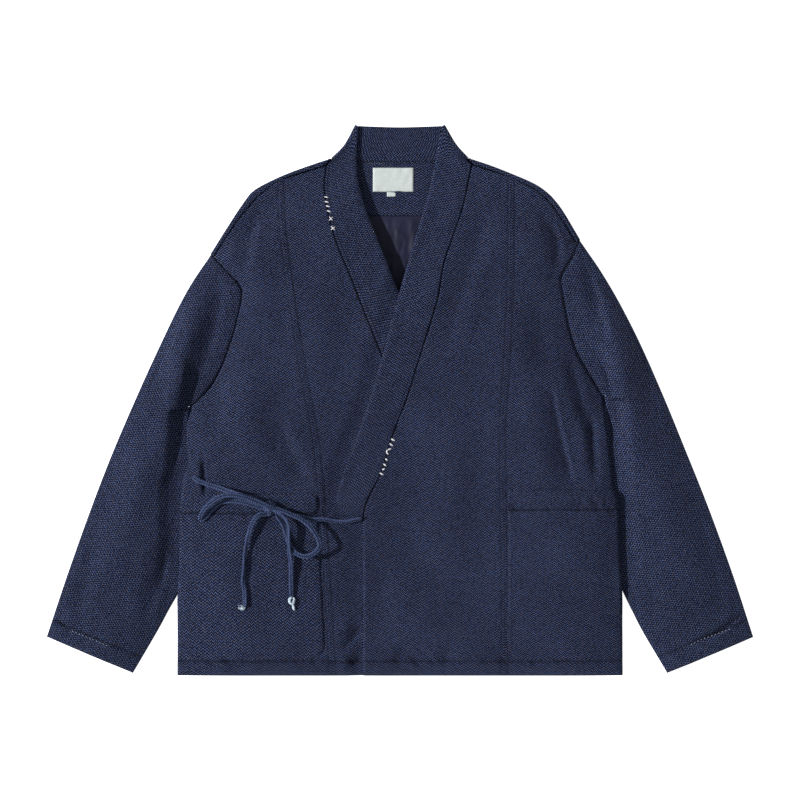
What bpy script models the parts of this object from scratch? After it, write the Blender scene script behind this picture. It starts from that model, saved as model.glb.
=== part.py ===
"""Short wrap jacket with a deep collar band, laid flat on its back with the front up.

Each cloth piece is a thin wall in the shape in which it is cut and sewn. Lengths are in
millimetres and become metres when a mesh is made. The surface that the jacket lies on is
z = 0, the neck points to +Y, and LEFT and RIGHT are the sides that a viewer from above
sees. A table column called out is a distance from the middle line toward a side.
"""
import bisect
import math

import bmesh
import bpy
from mathutils import Vector

MM = 0.001
LEFT, RIGHT = -1, 1
SIDE_NAMES = {LEFT: "left", RIGHT: "right"}

# Thickness of one layer of the padded cloth, of a doubled one, and the gap at a seam
CLOTH = 2.0
DOUBLE = 4.0
LINING = 1.0
SEAM_GAP = 0.3
SIDE_SEAM_GAP = 0.8

# Radius of the flat fold along a shoulder or a sleeve, and of the one beside the neck
FOLD_RADIUS = 3.5
NECK_FOLD_RADIUS = 4.6
FOLD_STEPS = 4

# Levels along the body, from the hem up
HEM_Y = -366.0
HEM_STITCH_Y = -346.5
HEM_GROOVE = 1.0
BAND_END_Y = -155.0
FRONT_EDGE_OUT = 48.5
BACK_NECK_Y = 317.0
FACING_END_Y = 244.5
LINING_END_Y = 118.0

# How far the left front and the left part of the band lie under the right ones
WRAP_DROP = 5.0
WRAP_RAMP = 24.0
COVER_END_Y = -190.0
BAND_PROUD = 0.6

# How far the doming of the front reaches in from a side and down from the shoulder
SIDE_REACH = 95.0
TOP_REACH = 75.0
DOME_POWER = 2.2


def table(names, *rows):
    """Keep short rows of numbers under the names of their columns."""
    return dict(zip(names.split(), zip(*rows)))


def read(chart, column, at):
    """Read a column at a value of the chart's first column, along a smooth curve."""
    keys = next(iter(chart.values()))
    values = chart[column]
    if at <= keys[0]:
        return values[0]
    if at >= keys[-1]:
        return values[-1]
    low = bisect.bisect_right(keys, at) - 1
    step = keys[low + 1] - keys[low]
    part = (at - keys[low]) / step
    start = _slope(keys, values, low) * step
    end = _slope(keys, values, low + 1) * step
    square, cube = part * part, part ** 3
    return (values[low] * (2 * cube - 3 * square + 1) + start * (cube - 2 * square + part)
            + values[low + 1] * (3 * square - 2 * cube) + end * (cube - square))


def _slope(keys, values, index):
    """Slope of the smooth curve at a row, flat where the values turn round."""
    if index in (0, len(keys) - 1):
        near = 1 if index == 0 else index
        return (values[near] - values[near - 1]) / (keys[near] - keys[near - 1])
    before = (values[index] - values[index - 1]) / (keys[index] - keys[index - 1])
    after = (values[index + 1] - values[index]) / (keys[index + 1] - keys[index])
    if before * after <= 0:
        return 0.0
    return 2 * before * after / (before + after)


# Side seams, from the hem to the armpit
SIDE_SEAM = {
    LEFT: table("y out", (-366, 296), (-272, 295.5), (-206, 292.5), (-154, 292), (-106, 288),
                (-85, 281.5), (-9, 278)),
    RIGHT: table("y out", (-366, 296), (-272, 295.5), (-206, 292), (-133, 289.5), (-117, 284),
                 (-85, 280), (5, 270)),
}
# Armhole seams, from the armpit to the shoulder's outline, and their height above the floor
ARMHOLE = {
    LEFT: table("y out height", (-9, 278, 7), (15, 252.5, 8.5), (49, 234, 10), (114, 214, 12),
                (144, 209, 14), (173, 231, 12), (194, 252, 7)),
    RIGHT: table("y out height", (5, 270, 7), (38, 249, 8.5), (77, 230, 9), (133, 218, 10),
                 (160, 214, 12), (191, 230, 11), (213, 239.5, 7)),
}
# Outline of the shoulder, from the neck to the armhole
SHOULDER = {
    LEFT: table("out y", (92, 321), (106, 316.5), (152, 300), (182, 286), (197, 276.5),
                (207.5, 263), (252, 194)),
    RIGHT: table("out y", (91, 321.5), (117, 313), (148, 301), (181.5, 286), (198, 274),
                 (212, 258), (239.5, 213)),
}
# Seam in front of the shoulder's outline, where the front pieces start
SHOULDER_SEAM = {
    LEFT: table("out y", (99, 311), (130, 302), (158, 292), (182, 275.5), (209, 246),
                (227, 222), (246.5, 191)),
    RIGHT: table("out y", (98, 312), (118, 306), (148, 295), (177, 281.5), (193, 269),
                 (206, 254), (234.5, 209)),
}
# Long seam down each front, from the hem to the shoulder seam
PRINCESS = {
    LEFT: table("y out", (-366, 89), (-195, 98.5), (-69, 109), (45, 129), (156, 146),
                (254, 157), (292, 158)),
    RIGHT: table("y out", (-366, 139), (-246, 138.5), (-53, 135.5), (66, 142), (162, 146.5),
                 (295, 148)),
}
# Collar band in front: its seam to the front, and its free edge, in the same rows. On each
# side the x columns are plain positions, because both ends cross the middle line.
BAND = {
    LEFT: table("seam_y seam_x free_y free_x",
                (-155, 48.5, -145, 72), (-125, 40, -93, 73), (-65, 21, -27, 58.5),
                (14.5, -6.5, 57, 30.5), (60, -24, 104, 14), (119.5, -48, 158.5, -8),
                (163.5, -65, 191.5, -21), (203.5, -82, 227, -35), (246, -94.5, 267, -49.5),
                (285, -100, 302, -56.5), (311, -97, 328, -57.5)),
    RIGHT: table("seam_y seam_x free_y free_x",
                 (-155, -49, -147, -72), (-138, -45, -134, -84), (-94.5, -24, -101, -76.5),
                 (-46.5, -9.5, -52, -58), (2.5, 9.5, 0, -40.5), (56, 26, 54.5, -24.5),
                 (100, 40, 105, -11.5), (135.5, 50.5, 147.5, 0.5), (175.5, 57, 189.5, 12.5),
                 (213, 69, 231.5, 25), (252.5, 82.5, 273, 37.5), (284.5, 90, 303, 44),
                 (312, 95, 330, 49.5)),
}
# The neck folds of the band run from beside the neck to the collar's top corner
NECK_FOLD = {
    LEFT: table("part x y", (0, -91.5, 321.5), (0.5, -75, 338), (1, -59.5, 366)),
    RIGHT: table("part x y", (0, 91.0, 322), (0.5, 75.5, 339), (1, 59.5, 366)),
}
COLLAR_DIP = 3.5

# Both edges of each sleeve, from the armhole to the cuff, and the height of its dome
SLEEVE = {
    LEFT: table("part outer_out outer_y inner_out inner_y height",
                (0.0, 252, 194, 279, -9.4, 15), (0.1, 281, 149, 279.8, -16, 19),
                (0.25, 321, 68, 280.8, -40, 22), (0.4, 355, -7, 273, -93, 22),
                (0.55, 386, -80, 275, -150, 21), (0.7, 415, -156, 283, -226, 19),
                (0.85, 443, -235, 312, -288, 17), (1.0, 469.5, -314.5, 355, -363, 12)),
    RIGHT: table("part outer_out outer_y inner_out inner_y height",
                 (0.0, 239.5, 213, 271, 5, 15), (0.1, 270, 167, 273, -5, 19),
                 (0.25, 311, 92, 276, -28, 22), (0.4, 348, 10, 269, -85, 22),
                 (0.55, 380, -68, 272, -142, 21), (0.7, 408, -138, 282, -215, 19),
                 (0.85, 443, -234, 312, -288, 17), (1.0, 469.5, -315, 355, -363, 12)),
}
CUFF_STITCH_PART = 0.957

# Height of the domed front over the floor, up the middle of the body
DOME = table("y height", (-366, 11), (-345, 16), (-250, 23), (-100, 26), (50, 26),
             (150, 24), (230, 19), (290, 13), (366, 8))
# Height of the back's underside at the side seam, over the sleeve tucked below it. The key
# is a level below the armpit.
TUCK = table("y lift", (-310, 0), (-257, 8.4), (-62, 8.4), (-9, 0))
TUCK_FLAT = 20.0
TUCK_REACH = 56.0
ARMPIT_HEIGHT = 7.0
# A sleeve stays flat until it is this far out from under the body, then rises over this width
TUCK_MARGIN = 6.0
TUCK_RAMP = 26.0

# Largest folds of the front: soft troughs from one point to another
FOLDS = table("x1 y1 x2 y2 half_width depth",
              (203, -33, 229, -117, 16, 4.0), (-262, -88, -260, -126, 5, 2.5),
              (118, 262, 60, 60, 18, 3.0), (-198, 260, -206, 170, 14, 2.5),
              (-163, -33, -125, -115, 16, 3.0), (224, 55, 240, -100, 14, 2.5))

# Patch pockets: top and bottom level, inner edge at both, and how far the top stands open
POCKET = {
    LEFT: {"top": -125.0, "bottom": -343.5, "top_out": 109.5, "bottom_out": 98.5},
    RIGHT: {"top": -120.0, "bottom": -343.5, "top_out": 142.5, "bottom_out": 141.5},
}
POCKET_OPEN = 5.5
POCKET_LIFT = 0.8
POCKET_HEM = 25.0
POCKET_CORNER = 22.0

# Blank woven neck label and the small tab under it
LABEL = {"x": -9.0, "y": 292.6, "width": 54.0, "height": 32.0}
TAB = {"x": -11.3, "y": 273.2, "width": 12.0, "height": 6.0}
LABEL_WALL = 0.8

# Ties: cloth cords that run from the side seam and the front edge to one bow. A row of a
# route is a place and how far the cord is held up over the cloth.
TIE_RADIUS = 2.5
TIE_CLEAR = 0.35
TIE_POINT_SPACING = 7.0
TIP_RADIUS = 4.2
TIP_LENGTH = 9.0
KNOT = {"x": -168.0, "y": -144.0, "half_length": 11.5, "half_width": 7.5, "half_height": 6.5}
KNOT_MARGIN = 2.0
ROUTES = {
    "tie_side_run": table("x y raise", (-275, -102, 0), (-264, -108, 0), (-238, -116.5, 1),
                          (-217, -123, 1.5), (-197, -129, 1.5), (-170, -142, 1.5)),
    "tie_front_run": table("x y raise", (-49.6, -156.5, 0), (-58, -158, 0), (-70, -160.5, 0),
                           (-85, -160, 0), (-101, -157.5, 0), (-115, -157.5, 0.5),
                           (-131, -154, 1), (-166, -145, 3)),
    "bow_loop_left": table("x y raise", (-170, -141, 9.5), (-190, -133, 10), (-205, -128, 11),
                           (-223, -125, 13), (-238, -128, 14), (-251, -137, 13),
                           (-261, -148, 10), (-263.5, -157, 6), (-259, -159.5, 2),
                           (-250, -152, 1), (-237, -143, 0.5), (-220, -138, 0.5),
                           (-200, -139, 1), (-170, -146, 3)),
    "bow_loop_right": table("x y raise", (-166, -144, 8), (-154, -146, 9), (-143, -151, 10),
                            (-130, -157, 11), (-116, -169, 13), (-107, -184, 14),
                            (-106, -193, 14), (-112, -202, 13), (-125, -208, 11),
                            (-136, -202, 8), (-141, -191, 5), (-144.5, -178, 2.5),
                            (-150, -164, 1), (-166, -146, 2)),
    "bow_end_left": table("x y raise", (-168, -144, 3), (-176, -150, 3), (-186, -151.5, 4.5),
                          (-194, -162, 5), (-199, -177, 4), (-202, -190, 3), (-205, -207, 2),
                          (-206, -223, 1), (-207, -239, 0.5), (-205, -255, 0), (-205, -274, 0)),
    "bow_end_right": table("x y raise", (-166, -144, 5), (-158, -150, 6.5), (-151, -157, 8.5),
                           (-147, -167, 9.5), (-147, -183, 8.5), (-146, -200, 6), (-144, -216, 4),
                           (-143.5, -233, 2), (-143.5, -249, 0.8), (-143, -268, 0)),
}

# Colours seen in the photo
INDIGO = (0.030, 0.042, 0.095)
INDIGO_DARK = (0.012, 0.014, 0.030)
LABEL_WHITE = (0.78, 0.77, 0.73)


def mix(start, end, part):
    """Blend two numbers."""
    return start + (end - start) * part


def ease(value):
    """Rise smoothly from 0 to 1 as value goes from 0 to 1."""
    value = min(1.0, max(0.0, value))
    return value * value * (3 - 2 * value)


def rise(distance, reach):
    """Height of a round edge, as a share of the full height, some way in from it."""
    return 1 - (1 - min(1.0, max(0.0, distance / reach))) ** DOME_POWER


def armpit_y(side):
    """Level of the armpit."""
    return ARMHOLE[side]["y"][0]


def armhole_top_y(side):
    """Level where the armhole seam meets the shoulder's outline."""
    return ARMHOLE[side]["y"][-1]


def body_edge(side, y):
    """Signed position of the body's outline at a level: side seam, armhole, shoulder, neck."""
    if y <= armpit_y(side):
        return side * read(SIDE_SEAM[side], "out", y)
    if y <= armhole_top_y(side):
        return side * read(ARMHOLE[side], "out", y)
    if y <= SHOULDER[side]["y"][0]:
        return side * mix(SHOULDER[side]["out"][-1], SHOULDER[side]["out"][0],
                          (y - armhole_top_y(side)) / (SHOULDER[side]["y"][0] - armhole_top_y(side)))
    neck = NECK_FOLD[side]
    part = (y - neck["y"][0]) / (neck["y"][-1] - neck["y"][0])
    return read(neck, "x", min(1.0, part))


def top_edge(x):
    """Level of the outline over a place: the shoulder, the neck fold or the collar's top."""
    side = LEFT if x < 0 else RIGHT
    out = abs(x)
    shoulder = SHOULDER[side]
    if out >= shoulder["out"][0]:
        return read(shoulder, "y", out)
    corner = NECK_FOLD[side]["y"][-1]
    span = shoulder["out"][0] - abs(NECK_FOLD[side]["x"][-1])
    return mix(shoulder["y"][0], corner, min(1.0, (shoulder["out"][0] - out) / span))


def tuck_lift(side, y):
    """Height of the back's underside at a side seam."""
    return read(TUCK, "lift", min(y, armpit_y(LEFT) + (y - armpit_y(side))))


def edge_height(side, y):
    """Height of the front's upper face at the body's edge."""
    if y > armhole_top_y(side):
        return 2 * FOLD_RADIUS
    if y > armpit_y(side):
        return read(ARMHOLE[side], "height", y)
    seam = tuck_lift(side, y) + 2 * CLOTH + SIDE_SEAM_GAP
    return max(seam, mix(ARMPIT_HEIGHT, 0.0, (armpit_y(side) - y) / 40))


def fold_depth(x, y):
    """Depth of the largest folds at a place."""
    depth = 0.0
    for x1, y1, x2, y2, half_width, deep in zip(*FOLDS.values()):
        along = Vector((x2 - x1, y2 - y1))
        length = along.length
        along /= length
        offset = Vector((x - x1, y - y1))
        run = offset.dot(along) / length
        across = (offset.x * along.y - offset.y * along.x) / half_width
        ends = ease(run / 0.25) * ease((1 - run) / 0.25)
        depth += deep * ends * math.exp(-across * across)
    return depth


def front_height(x, y):
    """Height of the front's upper face over the floor, without the wrap."""
    left, right = body_edge(LEFT, y), body_edge(RIGHT, y)
    across = min(1.0, max(0.0, (x - left) / (right - left)))
    edge = mix(edge_height(LEFT, y), edge_height(RIGHT, y), across)
    full = read(DOME, "height", y)
    dome = rise(min(x - left, right - x), SIDE_REACH) * rise(top_edge(x) - y, TOP_REACH)
    return edge + max(0.0, full - edge) * dome - fold_depth(x, y)


def cover_edge(y):
    """Position of the right side's free edge, which covers the left front below the neck."""
    band = BAND[RIGHT]
    widest = band["free_x"].index(min(band["free_x"]))
    if y < band["free_y"][widest]:
        below = (band["free_y"][widest] - y) / (band["free_y"][widest] - COVER_END_Y)
        return mix(band["free_x"][widest], -FRONT_EDGE_OUT, ease(below))
    keyed = {"free_y": band["free_y"][widest:], "free_x": band["free_x"][widest:]}
    return read(keyed, "free_x", y)


def under_height(x, y):
    """Height of the left side's pieces, which dip under the right ones."""
    inside = ease((x - cover_edge(y)) / WRAP_RAMP + 1.15)
    return front_height(x, y) - WRAP_DROP * inside


def piece_height(side, x, y):
    """Height of the upper face of a front piece on one side."""
    return under_height(x, y) if side == LEFT else front_height(x, y)


def pocket_gap(side, x, y):
    """Space between a pocket and the front under it."""
    pocket = POCKET[side]
    inner = mix(pocket["bottom_out"], pocket["top_out"],
                (y - pocket["bottom"]) / (pocket["top"] - pocket["bottom"]))
    outer = abs(body_edge(side, y))
    part = min(1.0, max(0.0, (abs(x) - inner) / (outer - inner)))
    across = math.sin(math.pi * part)
    up = ease((y - pocket["bottom"]) / (pocket["top"] - pocket["bottom"]))
    return POCKET_LIFT + POCKET_OPEN * across * up


def on_pocket(x, y):
    """Side of the pocket that lies at a place, or None."""
    for side, pocket in POCKET.items():
        if pocket["bottom"] < y < pocket["top"] + 4 and x * side > pocket["bottom_out"] - 4:
            return side
    return None


def rest_height(x, y):
    """Height of the uppermost cloth, which a tie rests on."""
    height = front_height(x, y)
    side = on_pocket(x, y)
    if side is not None:
        height += pocket_gap(side, x, y) + CLOTH
    return height


def material(name, colour, roughness):
    """Make a plain cloth material."""
    made = bpy.data.materials.new(name)
    made.use_nodes = True
    shader = made.node_tree.nodes["Principled BSDF"]
    shader.inputs["Base Color"].default_value = (*colour, 1.0)
    shader.inputs["Roughness"].default_value = roughness
    shader.inputs["Metallic"].default_value = 0.0
    return made


def finish(bm, name, colour, roughness=0.9):
    """Turn a mesh in millimetres into an object of its own."""
    bmesh.ops.recalc_face_normals(bm, faces=bm.faces)
    bmesh.ops.scale(bm, vec=(MM, MM, MM), verts=bm.verts)
    mesh = bpy.data.meshes.new(name)
    bm.to_mesh(mesh)
    bm.free()
    mesh.shade_smooth()
    mesh.set_sharp_from_angle(angle=math.radians(40))
    made = bpy.data.objects.new(name, mesh)
    mesh.materials.append(material(name, colour, roughness))
    bpy.context.scene.collection.objects.link(made)
    return made


def cloth_wall(name, columns, rows, outer, inner, colour=INDIGO, tube=False, wraps=None):
    """Make a closed wall between two faces.

    outer and inner give a point for each column and row number. A tube's last column is
    its first one. wraps is (number of extra rows, the columns that they continue from).
    """
    bm = bmesh.new()
    bmesh.ops.create_grid(bm, x_segments=columns, y_segments=rows, size=0.5)
    column = bm.verts.layers.int.new("column")
    row = bm.verts.layers.int.new("row")
    for vert in bm.verts:
        vert[column] = round((vert.co.x + 0.5) * columns)
        vert[row] = round((vert.co.y + 0.5) * rows)
    if wraps:
        _extend(bm, column, row, rows, *wraps)
    for vert in bm.verts:
        vert.co = outer(vert[column], vert[row])
    if tube:
        bmesh.ops.remove_doubles(bm, verts=bm.verts, dist=0.01)
    made = bmesh.ops.extrude_face_region(bm, geom=bm.faces[:])
    for vert in (item for item in made["geom"] if isinstance(item, bmesh.types.BMVert)):
        vert.co = inner(vert[column], vert[row])
    return finish(bm, name, colour)


def _extend(bm, column, row, rows, count, columns):
    """Extrude extra rows from part of the last row of a grid."""
    front = [edge for edge in bm.edges
             if all(v[row] == rows for v in edge.verts)
             and {edge.verts[0][column], edge.verts[1][column]} <= set(columns)]
    for extra in range(1, count + 1):
        made = bmesh.ops.extrude_edge_only(bm, edges=front)["geom"]
        for vert in (item for item in made if isinstance(item, bmesh.types.BMVert)):
            vert[row] = rows + extra
        front = [item for item in made if isinstance(item, bmesh.types.BMEdge)
                 and all(v[row] == rows + extra for v in item.verts)]


def height_wall(name, columns, rows, place, height, wall, colour=INDIGO):
    """Make a wall whose upper face has a given height, from places on the floor plan."""
    def outer(i, j):
        x, y = place(i, j)
        return Vector((x, y, height(x, y)))

    def inner(i, j):
        x, y = place(i, j)
        return Vector((x, y, height(x, y) - wall))

    return cloth_wall(name, columns, rows, outer, inner, colour)


# Rows that the front pieces share, as a stage of the way up and a part of that stage
ARMHOLE_STEPS = 11
HEM_ROWS = (0.0, 0.045, 0.08, 0.0924, 0.105, 0.2, 0.32, 0.44, 0.56, 0.68, 0.8, 0.9)
STAGES = (("hem", HEM_ROWS), ("body", [i / 8 for i in range(8)]),
          ("armhole", [i / ARMHOLE_STEPS for i in range(ARMHOLE_STEPS)]),
          ("shoulder", [i / 6 for i in range(7)]))
FRONT_ROWS = [(stage, part) for stage, parts in STAGES for part in parts]
BAND_ROWS = [(stage, part) for stage, part in FRONT_ROWS if stage != "hem"]
BACK_ROWS = [(stage, part) for stage, part in FRONT_ROWS
             if stage != "shoulder" and (stage != "hem" or part == 0 or part > 0.1)]
UPPER_SEAM_Y = 235.0
UPPER_PRINCESS_Y = 225.0
NARROW_END = 6.0


def stage_y(stage, part, levels):
    """Level of a row, from the levels at which the stages end."""
    order = [name for name, _ in STAGES]
    start = order.index(stage)
    return mix(levels[start], levels[start + 1], part)


def side_point(side, stage, part):
    """Point of a front's outer edge: side seam, armhole seam, shoulder seam."""
    if stage == "shoulder":
        seam = SHOULDER_SEAM[side]
        out = mix(seam["out"][-1], PRINCESS[side]["out"][-1] + NARROW_END, part)
        return side * out, read(seam, "y", out)
    levels = (HEM_Y, BAND_END_Y, armpit_y(side), armhole_top_y(side))
    y = stage_y(stage, part, levels)
    if stage == "armhole":
        return side * read(ARMHOLE[side], "out", y), y
    return side * read(SIDE_SEAM[side], "out", y), y


def princess_point(side, stage, part):
    """Point of the long seam down a front."""
    seam = PRINCESS[side]
    levels = (HEM_Y, BAND_END_Y, armpit_y(side), UPPER_PRINCESS_Y, seam["y"][-1])
    y = stage_y(stage, part, levels)
    return side * read(seam, "out", y), y


def band_seam_point(side, stage, part):
    """Point of a front's inner edge: its free edge, then the seam to the collar band."""
    band = BAND[side]
    levels = (HEM_Y, BAND_END_Y, armpit_y(side), UPPER_SEAM_Y, band["seam_y"][-1])
    y = stage_y(stage, part, levels)
    return read(band, "seam_x", y), y


def groove(x, y):
    """Depth of the line of stitches over the hem, which stops short of the side seams."""
    if abs(y - HEM_STITCH_Y) > 0.6:
        return 0.0
    return HEM_GROOVE * ease((abs(body_edge(LEFT, y)) - abs(x)) / 40)


def front_piece(side, name, first, last, columns, gap_first, gap_last):
    """Make a front piece between two of its seams."""
    def place(i, j):
        stage, part = FRONT_ROWS[j]
        x1, y1 = first(side, stage, part)
        x2, y2 = last(side, stage, part)
        toward = math.copysign(1.0, x2 - x1)
        across = i / columns
        return (mix(x1 + toward * gap_first, x2 - toward * gap_last, across),
                mix(y1, y2, across))

    def height(x, y):
        return piece_height(side, x, y) - groove(x, y)

    return height_wall(name, columns, len(FRONT_ROWS) - 1, place, height, CLOTH)


def fronts():
    """Make the two pieces of each front."""
    half = SEAM_GAP / 2
    for side in (LEFT, RIGHT):
        word = SIDE_NAMES[side]
        front_piece(side, f"side_front_{word}", side_point, princess_point, 7, half, half)
        front_piece(side, f"centre_front_{word}", princess_point, band_seam_point, 8, half, half)


NECK_COLUMNS = 6
SHOULDER_COLUMNS = 7
BACK_COLUMNS = 2 * SHOULDER_COLUMNS + NECK_COLUMNS
BACK_TOP_ROWS = 5
SHOULDER_GAP = 0.8


def shoulder_frame(side, part):
    """Outline point, way inward and seam point at a part of the way from armhole to neck."""
    outline, seam = SHOULDER[side], SHOULDER_SEAM[side]
    out = mix(outline["out"][-1], outline["out"][0], part)
    seam_out = mix(seam["out"][-1] - 0.3, seam["out"][0] + 0.3, part)
    point = Vector((side * out, read(outline, "y", out)))
    target = Vector((side * seam_out, read(seam, "y", seam_out)))
    inward = (target - point).normalized()
    return point, inward, target - inward * SHOULDER_GAP


def back():
    """Make the back, which wraps forward over both shoulders to the shoulder seams."""
    top_rows = len(BACK_ROWS)
    rows = top_rows + BACK_TOP_ROWS
    angles = [math.radians(180 * k / FOLD_STEPS - 90) for k in range(1, FOLD_STEPS + 1)]

    def shoulder_at(i):
        if i <= SHOULDER_COLUMNS:
            return shoulder_frame(LEFT, i / SHOULDER_COLUMNS)
        return shoulder_frame(RIGHT, (BACK_COLUMNS - i) / SHOULDER_COLUMNS)

    def edge_row(i, stage, part):
        left = side_point(LEFT, stage, part)
        right = side_point(RIGHT, stage, part)
        across = i / BACK_COLUMNS
        return Vector((mix(left[0], right[0], across), mix(left[1], right[1], across)))

    def top_of(i):
        if SHOULDER_COLUMNS < i < BACK_COLUMNS - SHOULDER_COLUMNS:
            ends = [top_of(SHOULDER_COLUMNS), top_of(BACK_COLUMNS - SHOULDER_COLUMNS)]
            part = (i - SHOULDER_COLUMNS) / NECK_COLUMNS
            return Vector((mix(ends[0].x, ends[1].x, part), BACK_NECK_Y - SEAM_GAP))
        point, inward, _ = shoulder_at(i)
        return point + inward * FOLD_RADIUS

    def lift(plan):
        return max(tuck_lift(side, plan.y)
                   * (1 - ease((abs(body_edge(side, plan.y) - plan.x) - TUCK_FLAT)
                               / (TUCK_REACH - TUCK_FLAT))) for side in (LEFT, RIGHT)
                   ) if plan.y < armpit_y(RIGHT) else 0.0

    def face(i, j, inset):
        if j < top_rows:
            plan = edge_row(i, *BACK_ROWS[j])
        elif j <= rows:
            plan = edge_row(i, *BACK_ROWS[-1]).lerp(top_of(i), (j - top_rows + 1) / (BACK_TOP_ROWS + 1))
        if j <= rows:
            return Vector((*plan, lift(plan) + inset))
        point, inward, target = shoulder_at(i)
        radius = FOLD_RADIUS - inset
        if j <= rows + FOLD_STEPS:
            angle = angles[j - rows - 1]
            plan = point + inward * (FOLD_RADIUS - radius * math.cos(angle))
            return Vector((*plan, FOLD_RADIUS + radius * math.sin(angle)))
        return Vector((*target, max(2 * FOLD_RADIUS, front_height(*target)) - inset))

    wrapped = [i for i in range(BACK_COLUMNS + 1)
               if i <= SHOULDER_COLUMNS or i >= BACK_COLUMNS - SHOULDER_COLUMNS]
    cloth_wall("back", BACK_COLUMNS, rows, lambda i, j: face(i, j, 0.0),
               lambda i, j: face(i, j, CLOTH), wraps=(FOLD_STEPS + 1, wrapped))


SLEEVE_ROWS = (0.0, 0.03, 0.07, 0.12, 0.18, 0.25, 0.32, 0.4, 0.48, 0.56, 0.64, 0.72, 0.8,
               0.88, 0.94, CUFF_STITCH_PART, 0.975, 1.0)
KINK_REACH = 0.3
KINK_LEAST = 0.03
KINK_END = 0.88
PUSH = 5.0
HEAD_REACH = 0.16


def sleeve_edge(side, part, word):
    """Point of a sleeve's outer or inner edge, and the way from it into the sleeve."""
    chart = SLEEVE[side]
    low, high = max(0.0, part - 0.01), min(1.0, part + 0.01)
    here, before, after = (Vector((side * read(chart, word + "_out", at), read(chart, word + "_y", at)))
                           for at in (part, low, high))
    along = (after - before).normalized()
    turn = side if word == "outer" else -side
    return here, Vector((along.y, -along.x)) * turn


def sleeve(side):
    """Make a sleeve: a flattened tube with an open cuff and armhole."""
    chart = SLEEVE[side]
    seam = [Vector(side_point(side, "armhole", 1 - k / ARMHOLE_STEPS))
            for k in range(ARMHOLE_STEPS + 1)]
    away = Vector((side * (SEAM_GAP + 0.1), -0.1))
    lengths = [0.0]
    for a, b in zip(seam, seam[1:]):
        lengths.append(lengths[-1] + (b - a).length)
    shares = [length / lengths[-1] for length in lengths]
    half = ARMHOLE_STEPS + 4
    rounding = (0.0, 0.28, 1.0)

    def edge_place(k, part, inset):
        """Point near one of the two folds, where the cloth turns round."""
        if k < 3:
            here, way = sleeve_edge(side, part, "outer")
            at_seam = (seam[1] - seam[0]).normalized()
            way = at_seam.lerp(way, ease(part / HEAD_REACH)).normalized()
            turn = rounding[k]
            here = here + away * max(0.0, 1 - part / HEAD_REACH)
        else:
            here, way = sleeve_edge(side, part, "inner")
            turn = rounding[half - k]
        return here + way * (turn * FOLD_RADIUS + inset * (1 - turn))

    def place(k, part, inset):
        if k < 3 or k > half - 3:
            return edge_place(k, part, inset)
        share = shares[k - 2]
        plan = edge_place(2, part, 0.0).lerp(edge_place(half - 2, part, 0.0), share)
        first = edge_place(2, 0.0, 0.0).lerp(edge_place(half - 2, 0.0, 0.0), share)
        reach = KINK_LEAST + KINK_REACH * max(0.0, KINK_END - share)
        plan += (seam[k - 2] + away - first) * max(0.0, 1 - part / reach) ** 2
        push = PUSH * share ** 4 * ease(part / 0.03) * (1 - ease((part - 0.2) / 0.2))
        return plan + Vector((side * push, 0.0))

    def top_height(k, part, plan):
        share = min(1.0, max(0.0, (k - 2) / (half - 4)))
        if 3 <= k <= half - 3:
            share = shares[k - 2]
        dome = 1 - abs(2 * share - 1) ** 2.4
        top = mix(2 * FOLD_RADIUS, read(chart, "height", part), dome)
        head = read(ARMHOLE[side], "height", place(k, 0.0, 0.0).y)
        top = mix(head, top, ease(part / HEAD_REACH))
        if TUCK["y"][0] < plan.y < armpit_y(side) - 4:
            clear = (abs(plan.x) - abs(body_edge(side, plan.y)) - TUCK_MARGIN) / TUCK_RAMP
            top = mix(2 * FOLD_RADIUS, top, ease(clear))
        if abs(part - CUFF_STITCH_PART) < 0.001:
            top -= HEM_GROOVE
        return max(top, 2 * FOLD_RADIUS)

    def face(i, j, inset):
        upper = i <= half
        k = i if upper else 2 * half - i
        part = SLEEVE_ROWS[j]
        plan = place(k, part, inset)
        turn = rounding[min(k, half - k, 2)]
        swell = math.sqrt(1 - (1 - turn) ** 2)
        if upper:
            return Vector((*plan, mix(FOLD_RADIUS, top_height(k, part, plan) - inset, swell)))
        return Vector((*plan, mix(FOLD_RADIUS, inset, swell)))

    cloth_wall(f"sleeve_{SIDE_NAMES[side]}", 2 * half, len(SLEEVE_ROWS) - 1,
               lambda i, j: face(i, j, 0.0), lambda i, j: face(i, j, CLOTH), tube=True)


BAND_COLUMNS = 4
COLLAR_BACK_STEPS = 8


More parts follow.
